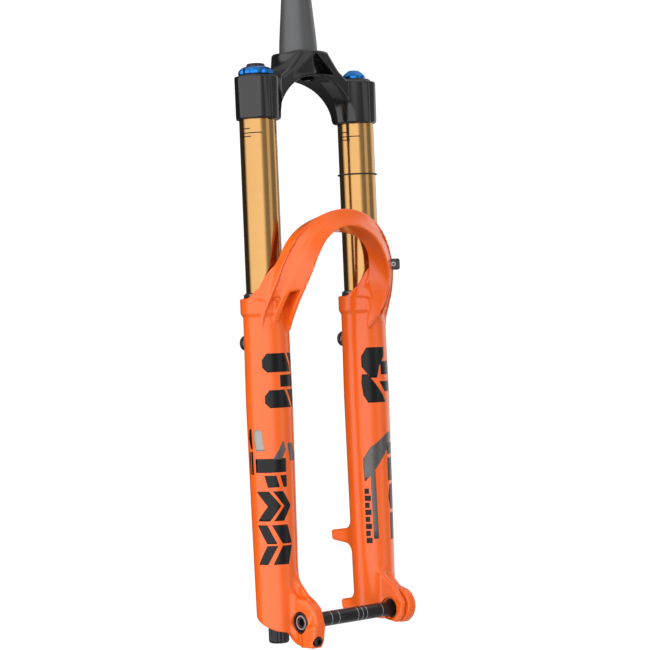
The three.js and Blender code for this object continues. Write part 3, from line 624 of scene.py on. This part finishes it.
def legs(x, y, z):
    """The two tubes with their collars, cut flat on top and slanting underneath."""
    radial = from_leg(x, y)
    tube = radial - leg_radius(z)
    collar = both(radial - COLLAR_R, slab(z, COLLAR_FOOT, COLLAR_TOP + 9), 2.5)
    body = fillet(tube, collar, 4.5)
    body = both(body, z - COLLAR_TOP, 1.6)
    foot = (np.interp(y, [-46, -24, 5, 30], [-600, -592, -579, -577.5]) - z) * 0.92
    return both(body, foot, 1.4)


# %% Dropouts, brake posts and bosses
HUB_FACE = 55.0
RIGHT_FACE = -66.2
PINCH_X, PINCH_Z = -63.5, -601.5
BUTTON_Z = -301


def right_dropout(x, y, z):
    """An inner and an outer flange about the axle, and the split lug for the pinch bolt."""
    inner = both(outline(y, z, [(-12, -534), (-24, -534), (-47, -557), (-63, -570), (-44, -604),
            (-12, -590)]), slab(x, -60, -HUB_FACE), 2.0)
    outer = both(outline(y, z, [(-12, -552.5), (-29, -552.5), (-47, -565), (-62, -571.5), (-44, -604),
            (-12, -590)]), slab(x, RIGHT_FACE, -57), 2.0)
    disc = drum(y, z, x, (AXLE_Y, AXLE_Z), 24.3, RIGHT_FACE, -HUB_FACE, 2.5)
    lug = both(outline(y, z, [(-39, -588), (-43, -600), (-45.5, -608.5), (-63, -608.5), (-67.5, -601),
            (-68, -585)]), slab(x, -69.2, -HUB_FACE), 2.2)
    return fillet(fillet(inner, outer, 2), fillet(disc, lug, 3), 3)


def left_dropout(x, y, z):
    """A thin inner flange and a rounded outer lobe, parted by a shallow valley."""
    inner = both(outline(y, z, [(-12, -545), (-30, -545), (-50.8, -558.5), (-64.8, -576.8), (-62, -590),
            (-54, -598), (-12, -592)]), slab(x, HUB_FACE, 61), 2.0)
    outer = both(outline(y, z, [(-14, -552), (-33, -552), (-56, -572), (-61, -584), (-54, -597),
            (-14, -592)]) - 1.0, slab(x, 63.5, 73.4), 3)
    outer = fillet(outer, drum(y, z, x, (-48.5, -581), 17.5, 63.5, 74, 2.0), 3)
    core = both(outline(y, z, [(-14, -556), (-34, -558), (-53, -574), (-56, -584), (-50, -593),
            (-14, -590)]), slab(x, 58, 70), 3)
    return fillet(fillet(inner, core, 2), outer, 2)


POST_X = 58.0
POST_TILT = np.radians(9.2)
POST_PITCH = 74.2


def brake_post(x, y, z, number):
    """One lug behind the left leg, ending on the tilted plane that both posts share."""
    face_y = 26 + number * POST_PITCH * np.sin(POST_TILT)
    face_z = AXLE_Z + number * POST_PITCH * np.cos(POST_TILT)
    face = (y - face_y) * np.cos(POST_TILT) - (z - face_z) * np.sin(POST_TILT)
    taper = 0.13 * np.clip(face_y - y, 0, 30)
    arm = both(slab(z, face_z - 5.2 - taper * 0.9, face_z + 5.4 + taper),
            slab(x, POST_X - 6.4, POST_X + 6.4), 3)
    arm = both(both(arm, face, 1.0), -10 - y, 2)
    hole = np.hypot(x - POST_X, (z - face_z) * np.cos(POST_TILT) + (y - face_y) * np.sin(POST_TILT))
    return arm, both(hole - 2.6, -(face + 12), 0.5)


SEAL_POCKET_R, SEAL_POCKET_FLOOR = 22.6, -266
LEG_BORE_R, LEG_BORE_FLOOR = 20.3, -292
COVER_BORE_R, COVER_BORE_ROOF = 11.2, -572
PAD_Y, PAD_Z = -44, -225
SLIT_Y = -48


def lowers_field(x, y, z):
    """The whole casting: what is joined first, then what is bored and cut."""
    side = np.abs(x)
    body = fillet(legs(side, y, z), fillet(arch(side, y, z), saddle(side, y, z), 5), 1.5)
    boss = both(np.hypot(side - LEG_X, z - BUTTON_Z) - 7.4, slab(y, 5, LEG_Y + 29), 1.6)
    body = fillet(body, boss, 4)
    body = fillet(body, both(right_dropout(x, y, z), -x - 74, 1), 6)
    body = fillet(body, left_dropout(x, y, z), 6)
    holes = []
    for number in (0, 1):
        arm, hole = brake_post(x, y, z, number)
        body = fillet(body, arm, 8)
        holes.append(hole)
    pad = both(np.hypot(y - PAD_Y, z - PAD_Z) - 6.2, slab(x, 60, 74.6), 1.5)
    body = fillet(body, pad, 4)
    radial = from_leg(side, y)
    axle_gap = np.hypot(y - AXLE_Y, z - AXLE_Z)
    slit = both(np.abs(y - SLIT_Y) - 0.7, z + 590, 0.2)
    cuts = [
        (both(radial - SEAL_POCKET_R, SEAL_POCKET_FLOOR - z, 0.4), 0.8),
        (both(radial - LEG_BORE_R, LEG_BORE_FLOOR - z, 0.4), 0.8),
        (both(radial - CROWN_SWEEP_R, CROWN_SWEEP_FOOT - z, 2), 1.5),
        (both(radial - COVER_BORE_R, z - COVER_BORE_ROOF, 0.8), 1.0),
        (both(axle_gap - 11.2, x + HUB_FACE - 1, 0.3), 0.9),
        (both(axle_gap - 11.4, slab(x, HUB_FACE - 2, HUB_FACE + 3), 0.3), 0.9),
        (both(axle_gap - 9.8, HUB_FACE - x, 0.3), 0.9),
        (both(np.hypot(x - PINCH_X, z - PINCH_Z) - 5.2, y + 62, 0.3), 0.8),
        (both(slit, x + 50, 0.2), 0.5),
    ] + [(hole, 0.6) for hole in holes]
    for tool, width in cuts:
        body = carve(body, tool, width)
    return body


# %% The casting's skin
FINE, LONG = 1.3, 6.0
points, faces = surface_net(
    lowers_field,
    spaced((-95, 95.1, FINE)),
    spaced((-76, -51, FINE), (-51, -45, 0.45), (-45, 42, FINE)),
    spaced((-613, -497, FINE), (-497, -313, LONG), (-313, -160, FINE)))
skin("lowers_casting", points, faces, "lowers", "orange_casting", ["lowers"], crease=42)

# %% [markdown]
# ## The crown
# A forged bridge joins both stanchions to the steerer. From in front it is a shoulder line over half
# an ellipse, from above it swells round the steerer. A keeled pocket lightens its face and the
# sockets carry flat panels.

# %% The crown's field
SOCKET_FOOT, SOCKET_TOP = corners("crown")[0][2] + 0.9, -30.5
CROWN_TOP = -2.4
SOCKET_R = 23.2
CROWN_ARCH_TOP = -29.5


def crown_field(x, y, z):
    """Sockets, bridge and boss, with the pocket, the bores and the flat panels cut in."""
    side = np.abs(x)
    radial = from_leg(side, y)
    socket = both(radial - SOCKET_R - 0.016 * (z - SOCKET_FOOT), slab(z, SOCKET_FOOT, SOCKET_TOP), 2.5)
    panel = 0.86 * (side - LEG_X) - 0.51 * (y - LEG_Y) - 21.7
    back_panel = 0.75 * (side - LEG_X) + 0.66 * (y - LEG_Y) - 21.9
    socket = both(both(socket, panel, 1.4), both(LEG_Y - SOCKET_R + 0.6 - y, back_panel, 0.8), 1.2)
    front_view = outline(side, z, [(-5, CROWN_TOP), (18, CROWN_TOP), (25, -11), (34, -21.5), (44, -29),
            (54, -32), (67, -33), (67, -74), (-5, -74)])
    spread = 44 + 6 * np.clip((-10 - y) / 15, 0, 1)
    under = ellipse(x, z, spread, CROWN_ARCH_TOP + 3 - SOCKET_FOOT, SOCKET_FOOT, 1.85)
    plan = outline(side, y, [(-5, -27.5), (14, -27.5), (30, -26), (46, -25.5), (56, -29), (67, -33),
            (67, 3), (46, 2), (30, 11), (14, 22), (-5, 22)])
    bridge = both(both(front_view, plan, 4), -under, 3)
    boss = both(np.hypot(x, y) - 27.8, slab(z, CROWN_ARCH_TOP + 4, CROWN_TOP), 3.5)
    body = fillet(fillet(bridge, boss, 5), socket, 3.5)
    keel = y - (-23.4 + 0.30 * side)
    pocket = both(outline(side, z, [(-4, -5.5), (2, -5.5), (25, -25.5), (-4, -25.5)]), keel, 1.0)
    body = carve(body, pocket, 1.8)
    rear_pocket = both(outline(side, z, [(-4, -7), (1, -7), (16, -24), (-4, -24)]),
            19 - 0.3 * side - y, 1.0)
    body = carve(body, rear_pocket, 1.6)
    hollow = both(ellipse(x, z, 40, 38, SOCKET_FOOT), both(-14 - y, y - 6, 2), 2)
    body = carve(body, hollow, 2.0)
    centre = np.hypot(x, y)
    body = carve(body, centre - 15.2, 1.2)
    body = carve(body, both(centre - 20.2, -24.3 - z, 0.3), 0.6)
    return carve(body, radial - 19.25, 0.7)


points, faces = surface_net(
    crown_field, spaced((-94, 94.1, 1.15)), spaced((-38, 32, 1.15)), spaced((-78, 3, 1.15)))
skin("crown_forging", points, faces, "crown_unit", "black_forging", ["crown"], crease=50)

# %% [markdown]
# ## Turned parts
# Tubes, caps, knobs and rings come off a lathe, so each is a profile of (radius, height) carried round
# its axis. A small radius on every corner catches the light the way a broken edge does. Knobs get
# their grip by letting the radius change with the bearing.

# %% Steerer and stanchions
STEERER_R = corners("steerer_tube")[1][0]
STANCHION_FOOT, STANCHION_TOP, STANCHION_BORE = -390, -31, 17
turned("steerer", [(STEERER_R, -24), (STEERER_R, 5), (18.9, 18), (17.2, 38), (15.4, 60), (14.3, 78),
        (14.3, 200), (11.9, 200), (11.9, 78), (13, 55), (15.2, 30), (16.4, 0), (16.4, -24)],
       (0, 0, 0), "crown_unit", "grey_steerer", ["steerer_tube"], soft=6, turns=128)
for name, side in SIDES.items():
    turned(f"stanchion_{name}_tube",
           [(STANCHION_R, STANCHION_FOOT), (STANCHION_R, STANCHION_TOP),
            (STANCHION_BORE, STANCHION_TOP), (STANCHION_BORE, STANCHION_FOOT)],
           leg_axis(side), "crown_unit", "gold_anodised", [f"stanchion_{name}"], turns=160)


# %% Wiper seals: a tapered skirt, a spring groove and a thin bright lip
def seal_profile(top, foot, radius):
    inner = STANCHION_R + 0.15
    return [(inner + 0.9, foot), (radius, foot), (radius, foot + 9), (radius - 0.4, foot + 10),
            (radius - 1.1, top - 2.2), (radius - 2.0, top - 1.2), (inner + 0.5, top), (inner, top - 1.4),
            (inner + 0.8, top - 4)]


for name, side in SIDES.items():
    low, high, seal_r = measured(f"wiper_seal_{name}")
    turned(f"wiper_{name}", seal_profile(high[2] - 0.1, low[2], seal_r),
           leg_axis(side), "lowers", "seal_rubber", [f"wiper_seal_{name}"], soft=0.3)
    lip_at = high[2] - 1.6
    turned(f"wiper_lip_{name}",
           [(20.4, lip_at - 0.5), (21.7, lip_at - 0.9), (21.9, lip_at - 0.2), (20.7, lip_at + 0.3)],
           leg_axis(side), "lowers", "bright_steel", soft=0.2)


# %% The dial, the knob and the air cap on top of the crown
def scallops(count, depth, sharpness=4):
    """A radius that dips in evenly spaced finger hollows, only on the outer wall."""
    def shape(radius, height, bearing):
        hollow = np.abs(np.cos(count * bearing / 2)) ** sharpness
        outer = radius > radius.max() - 1.5
        return radius - depth * hollow * outer
    return shape


dial_low, dial_high, dial_r = measured("compression_dial")
turned("dial_blue", [(10.1, dial_low[2]), (dial_r - 0.6, dial_low[2]), (dial_r, dial_low[2] + 1.2),
        (dial_r, dial_high[2] - 4.4), (dial_r - 2.2, dial_high[2] - 2.4),
        (14.6, dial_high[2] - 1.2), (12.2, dial_high[2]), (10.1, dial_high[2] - 0.6)],
       leg_axis(-1), "compression_dial", "blue_anodised", ["compression_dial"],
       soft=0.5, turns=240, shape=scallops(10, 1.9, 3))
knob_low, knob_high = corners("compression_knob")
knob_high[2] -= 2.0
turned("knob_black", [(2, knob_low[2]), (9.5, knob_low[2]), (9.5, knob_high[2] - 1.6),
        (8.5, knob_high[2] - 0.3), (7.2, knob_high[2]), (6.4, knob_high[2] - 1.0),
        (2.0, knob_high[2] - 1.2)],
       leg_axis(-1), "compression_knob", "black_anodised", ["compression_knob"],
       soft=0.35, turns=144, shape=scallops(12, 0.5))
cap_low, cap_high, cap_r = measured("air_valve_cap")


def hexed(radius, height, bearing):
    """Turns the upper, narrower part of a cap into a hexagon with rounded corners."""
    sixth = np.mod(bearing, np.pi / 3) - np.pi / 6
    across_flats = np.minimum(1.0, 0.9 / np.cos(sixth))
    upper = (height > cap_low[2] + 2.6) & (radius > 4)
    return np.where(upper, radius * across_flats, radius)


turned("air_cap_blue", [(3.4, cap_low[2] + 0.2), (cap_r, cap_low[2] + 0.2), (cap_r, cap_low[2] + 3.0),
        (cap_r - 0.8, cap_low[2] + 4.0), (9.4, cap_high[2] - 3.0), (6.2, cap_high[2] - 0.6),
        (4.6, cap_high[2]), (2.6, cap_high[2] - 0.1), (1.4, cap_high[2] - 0.9),
        (1.2, cap_high[2] - 2.6), (3.4, cap_high[2] - 3.0)],
       leg_axis(1), "air_valve_cap", "blue_anodised", ["air_valve_cap"],
       soft=0.45, turns=180, shape=hexed)


# %% The travel ring, the bleed buttons and the hose guide
ring_low, ring_high, ring_reach = measured("travel_ring")
ring_bearing = np.linspace(0, 2 * np.pi, 14, endpoint=False)
ring_wire = (ring_high[2] - ring_low[2]) / 2 + 0.1
ring_middle = (ring_low[2] + ring_high[2]) / 2
ring_r = ring_reach - ring_wire
ring_profile = np.stack([ring_r + ring_wire * np.cos(ring_bearing),
        ring_middle + 0.78 * np.sin(ring_bearing)], -1)
points, faces = revolved(ring_profile, leg_axis(1), turns=120)
skin("travel_marker", points, faces, "travel_ring", "seal_rubber", ["travel_ring"])

for name, side in SIDES.items():
    low, high, button_r = measured(f"bleed_button_{name}", axis=2)
    middle_z = (low[2] + high[2]) / 2
    turned(f"bleed_{name}", [(0.01, low[1]), (4.4, low[1]), (4.4, 20.9), (button_r, 21.1),
            (button_r, high[1] - 1.0), (button_r - 1.0, high[1]), (5.6, high[1]),
            (5.0, high[1] - 0.7), (0.01, high[1] - 0.5)],
           (side * LEG_X, 0, middle_z), f"bleed_button_{name}", "black_polymer",
           [f"bleed_button_{name}"], soft=0.4, axis="y", turns=72)
    turned(f"bleed_ring_{name}", [(7.45, 18.4), (8.2, 18.4), (8.2, 19.05), (7.45, 19.15)],
           (side * LEG_X, 0, middle_z), "lowers", "bright_steel", soft=0.2, axis="y", turns=72)

guide_low, guide_high = corners("hose_guide")
GUIDE = np.array([72.0, -54.0, (guide_low[2] + guide_high[2]) / 2])
GUIDE_AXES = np.stack([across, ahead, upward])


def guide_field(x, y, z):
    """A moulded clip hooked round the arch's outer corner, with a hose channel and a round nose."""
    u = (x - GUIDE[0]) * across[0] + (y - GUIDE[1]) * across[1]
    v = (x - GUIDE[0]) * ahead[0] + (y - GUIDE[1]) * ahead[1]
    w = z - GUIDE[2]
    block = both(both(np.abs(u) - 7.0, np.abs(w) - 5.8, 2.6), np.abs(v + 0.5) - 6.0, 1.6)
    hose = both(np.hypot(u - 7.6, v - 1.0) - 2.9, np.abs(w) - 20, 0.1)
    waist = both(both(np.abs(u - 4.4) - 0.45, 4.2 - np.abs(w), 0.2), v + 4, 0.2)
    return carve(carve(block, hose, 0.6), waist, 0.5)


points, faces = surface_net(guide_field, spaced((62, 86.2, 0.4)), spaced((-64.2, -38.8, 0.4)),
        spaced((-232.2, -217.8, 0.4)))
skin("guide_block", points, faces, "lowers", "black_polymer", ["hose_guide"], crease=45)
guide_face = GUIDE - 6.5 * ahead
turned("guide_screw", [(0.01, 8.0), (1.6, 8.0), (1.6, 0.2), (2.5, 0.2), (2.5, -0.5), (2.1, -0.9),
        (1.3, -0.9), (1.2, 0.0), (0.01, 0.1)],
       guide_face + 0.4 * across, "lowers", "bright_steel", ["hose_guide_screw"], soft=0.2, axis="y",
       turns=48, frame_axes=GUIDE_AXES)
# A black hexagon in the screw head's recess: painted shade, standing in for the dark inside of a hex
# socket.
turned("guide_socket_shade", [(0.01, -0.35), (1.1, -0.35), (1.1, 0.3), (0.01, 0.3)],
       guide_face + 0.4 * across, "lowers", "black_polymer", soft=0.1, axis="y", turns=6,
       frame_axes=GUIDE_AXES)

# %% [markdown]
# ## Axle, sleeve, nut and foot parts
# The axle draws out to the rider's right, so its head is on that side with a hex socket. The split
# sleeve takes the head and the nut takes the far end.

# %% Axle group
def on_axle(name, profile, body, slot, replaced=(), **more):
    """A piece turned about the axle's line."""
    return turned(name, profile, (0, AXLE_Y, AXLE_Z), body, slot, replaced, axis="x", **more)


sleeve_high, sleeve_r = measured("axle_sleeve", axis=2)[1:]
on_axle("sleeve_black", [(8.95, RIGHT_FACE - 0.5), (sleeve_r - 0.7, RIGHT_FACE - 0.5),
        (sleeve_r, RIGHT_FACE + 0.3), (sleeve_r, sleeve_high[0] - 0.3),
        (7.8, sleeve_high[0] - 0.3), (7.8, -63.2), (8.95, -63.2)],
        "lowers", "black_anodised", ["axle_sleeve"], soft=0.4, turns=120)


def keyed(radius, height, bearing):
    """Makes the wall of the axle head's socket a hexagon."""
    sixth = np.mod(bearing, np.pi / 3) - np.pi / 6
    socket = (radius > 3.0) & (radius < 4.2) & (height < -60.9)
    return np.where(socket, 3.5 / np.cos(sixth), radius)


AXLE_R = 7.5
HEAD_FACE = RIGHT_FACE + 0.1
on_axle("axle_through", [(5, axle_high[0]), (AXLE_R - 0.8, axle_high[0]), (AXLE_R, axle_high[0] - 1),
        (AXLE_R, -63.0), (8.75, -63.0), (8.75, HEAD_FACE + 0.8),
        (8.1, HEAD_FACE + 0.05), (5.2, HEAD_FACE + 0.05), (4.3, HEAD_FACE + 0.9),
        (3.6, HEAD_FACE + 1.1), (3.6, -61), (0.2, -60.8), (0.2, -59), (5, -57)],
        "axle", "black_anodised", ["axle"], soft=0.35, turns=144, shape=keyed)
on_axle("axle_head_ring", [(5.9, HEAD_FACE - 0.02), (7.3, HEAD_FACE - 0.02), (7.3, HEAD_FACE + 0.6),
        (5.9, HEAD_FACE + 0.6)],
        "axle", "bare_aluminium", soft=0.1, turns=96)
nut_low, nut_high = corners("axle_nut")
on_axle("nut_black", [(7.7, nut_low[0]), (9.45, nut_low[0]), (9.45, nut_high[0] - 0.9),
        (8.7, nut_high[0] - 0.1), (8.0, nut_high[0] - 0.1), (7.7, nut_high[0] - 1.2)],
        "lowers", "black_anodised", ["axle_nut"], soft=0.3, turns=120)
for start in (-30, -20, 6, 12, 18, 40):
    stop = start + 0.8
    on_axle(f"axle_mark_{start + 40}", [(7.3, start), (7.53, start), (7.53, stop), (7.3, stop)],
            "axle", "bare_aluminium", soft=0.02, turns=96)

# %% Pinch bolt and rebound cover
bolt_low, bolt_high = corners("pinch_bolt")


def torx(radius, height, bearing):
    """A six-lobed recess in the bolt's head."""
    recess = (radius > 1.5) & (radius < 3.2) & (height < -64)
    return np.where(recess, 2.35 + 0.45 * np.cos(6 * bearing), radius)


turned("pinch_bolt_steel", [(0.01, bolt_high[1]), (2.4, bolt_high[1]), (2.45, -62.4), (4.75, -62.4),
        (4.75, bolt_low[1] + 0.7), (4.1, bolt_low[1] + 0.05),
        (2.9, bolt_low[1] + 0.05), (2.4, bolt_low[1] + 0.8), (2.3, -65.4),
        (0.01, -65.2)],
       (PINCH_X, 0, PINCH_Z), "pinch_bolt", "black_anodised", ["pinch_bolt"], soft=0.3, axis="y",
        turns=96,
       shape=torx)
cover_high, cover_r = measured("rebound_cover")[1:]
COVER_FOOT = -606.6


def fluted(radius, height, bearing):
    """Shallow grip flutes on the lower half of the cover."""
    outer = (radius > cover_r - 1.2) & (height < -589)
    return radius - 0.9 * outer * np.abs(np.cos(8 * bearing)) ** 3


turned("rebound_cover_black", [(0.01, COVER_FOOT), (8.6, COVER_FOOT), (9.7, COVER_FOOT + 0.7),
        (cover_r, COVER_FOOT + 2.0), (cover_r, -590.2), (cover_r - 0.9, -589),
        (cover_r - 0.9, cover_high[2]), (8.4, cover_high[2]), (8.4, -603),
        (0.01, -603)],
       leg_axis(-1), "rebound_cover", "black_anodised", ["rebound_cover"], soft=0.4, turns=192,
       shape=fluted)

# %% [markdown]
# ## Printed marks
# The legs carry printed graphics. These are plain shapes of no meaning: bars, chevrons, ticks and a
# sweeping band. Each is a sheet that follows the leg's own radius, given by its left and right edge
# (as bearings round the leg) at a few heights, and thickened to the depth of a print under lacquer.

# %% Printed shapes
PRINT_LIFT, PRINT_DEPTH = 0.10, 0.25
TICK_LIFT, TICK_DEPTH = 0.03, 0.12


def printed(name, side, z, bearing, radius, body, slot, material, depth):
    """A sheet bent round one leg's axis, facing outwards, with the depth of a print."""
    x = side * LEG_X - radius * np.sin(bearing) + 0 * z
    y = LEG_Y - radius * np.cos(bearing) + 0 * z
    points = np.stack([x, y, z + 0 * bearing], -1).reshape(-1, 3)
    piece = skin(name, points, grid_faces(*x.shape), body, slot, material=material)
    outward = points[0] - [side * LEG_X, LEG_Y, points[0][2]]
    if np.dot(np.array(piece.data.polygons[0].normal), outward) < 0:
        piece.data.flip_normals()
    shell = piece.modifiers.new("print depth", "SOLIDIFY")
    shell.thickness, shell.offset = depth * MM, -1


def mark(name, side, heights, left, right, material=DECAL_BLACK, rows=14, columns=14):
    """A printed sheet on one leg; bearings are degrees from the front towards the camera's left."""
    down = np.linspace(0, 1, rows)
    stops = np.linspace(0, 1, len(heights))
    down = np.unique(np.concatenate([down, stops]))
    z = np.interp(down, stops, heights)[:, None]
    start = np.interp(down, stops, left)[:, None]
    end = np.interp(down, stops, right)[:, None]
    bearing = np.radians(start + (end - start) * np.linspace(0, 1, columns)[None, :])
    printed(name, side, z, bearing, leg_radius(z) + PRINT_LIFT, "lowers", "orange_casting", material,
            PRINT_DEPTH)


NEAR, FAR = -1, 1
PRINTS = [  # side, heights, left edges, right edges, and the colour where it isn't black
    (NEAR, (-312, -318, -326, -331), (42, 54, 54, 42), (-8, -15, -24, -30)),
    (NEAR, (-312, -331), (-16, -38), (-42, -42)),
    (NEAR, (-334, -346), (10, 10), (-42, -42)),
    (NEAR, (-349, -355, -362, -367), (38, 50, 50, 38), (-2, -9, -17, -23)),
    (NEAR, (-349, -367), (-10, -31), (-42, -42)),
    (NEAR, (-389, -399, -410), (84, 87, 80), (62, 60, 56), DECAL_SILVER),
    (NEAR, (-388, -398, -408), (104, 108, 100), (94, 94, 92)),
    (NEAR, (-411, -434), (109, 109), (103, 103)),
    (NEAR, (-411, -434), (100, 100), (92, 92)),
    (NEAR, (-401, -410, -419), (10, 22, 38), (6, 2, 14), DECAL_GREY),
    (NEAR, (-403, -412, -421), (-4, -8, -12), (-20, -34, -44), DECAL_GREY),
    (NEAR, (-418, -432), (84, 84), (2, 2)),
    (NEAR, (-435, -447), (60, 52), (30, 22)),
    (NEAR, (-435, -447), (20, 12), (2, 2)),
    (NEAR, (-451, -466, -481), (84, 54, 84), (50, 20, 50)),
    (NEAR, (-451, -466, -481), (40, 12, 40), (14, -8, 14)),
    (NEAR, (-485, -504), (86, 60), (58, 34)),
    (NEAR, (-506, -525), (60, 88), (32, 60)),
    (NEAR, (-485, -504), (46, 20), (4, -8)),
    (NEAR, (-506, -525), (20, 46), (-8, 4)),
    (FAR, (-311, -320, -331, -343), (38, 52, 52, 30), (-16, -16, 4, 12)),
    (FAR, (-326, -340), (0, 0), (-34, -34)),
    (FAR, (-339, -348, -361, -369), (52, 54, 50, 38), (38, 20, -4, -14)),
    (FAR, (-347, -358), (6, -12), (-34, -36)),
    (FAR, (-401, -408, -416, -428, -438, -451), (-14, 10, 38, 58, 58, 56), (-32, -30, -22, 6, 24, 53),
     DECAL_GREY),
    (FAR, (-434, -446, -512), (34, 40, 38), (27, 27, 24), DECAL_GREY),
    (FAR, (-412, -424), (-12, -14), (-50, -50)),
    (FAR, (-428, -452), (-14, -14), (-50, -50)),
    (FAR, (-456, -469, -482), (-20, -12, -20), (-50, -50, -50)),
    (FAR, (-486, -514), (-18, -18), (-50, -50)),
]
PRINTS += [(FAR, (top, top - 5.5), (58, 58), (46 - 4 * (index % 2), 46 - 4 * (index % 2)))
        for index, top in enumerate(np.arange(-459, -517, -7.4))]
for index, (side, heights, left, right, *colour) in enumerate(PRINTS):
    mark(f"print_{index:02d}", side, heights, left, right, *colour)


# %% Small travel ticks on the stanchions
def stanchion_tick(name, side, top, foot, left, right):
    """A thin printed bar on a stanchion, near the crown."""
    bearing = np.radians(np.linspace(left, right, 12))[None, :]
    z = np.array([top, foot])[:, None]
    printed(name, side, z, bearing, STANCHION_R + TICK_LIFT, "crown_unit", "gold_anodised", DECAL_BLACK,
            TICK_DEPTH)


for name, side in SIDES.items():
    for index, (end, foot) in enumerate([(66, -84.5), (28, -89), (62, -92.5)]):
        stanchion_tick(f"travel_tick_{name}_{index}", side, foot + 1.0, foot, 96, end)

# %% [markdown]
# ## The pale floor
# It lies well under the axle, so that the fork hangs clear of it.

# %% Floor
FLOOR_RADIUS, FLOOR_HEIGHT, FLOOR_SIDES = 1.3, -1.5, 64
floor_paint = finish("floor_paint", "speckle", ((0.60, 0.60, 0.60), (0.66, 0.66, 0.66)), (0.7, 0.8),
        (0.02, 0.0001), (300, 2))
floor_bearing = np.linspace(0, 2 * np.pi, FLOOR_SIDES, endpoint=False)
floor_mesh = bpy.data.meshes.new("floor")
floor_points = np.stack([FLOOR_RADIUS * np.cos(floor_bearing), FLOOR_RADIUS * np.sin(floor_bearing),
        np.full(FLOOR_SIDES, FLOOR_HEIGHT)], -1)
floor_mesh.from_pydata(floor_points.tolist(), [], [list(range(FLOOR_SIDES))])
floor = bpy.data.objects.new("floor", floor_mesh)
floor_mesh.materials.append(floor_paint)
bpy.context.scene.collection.objects.link(floor)
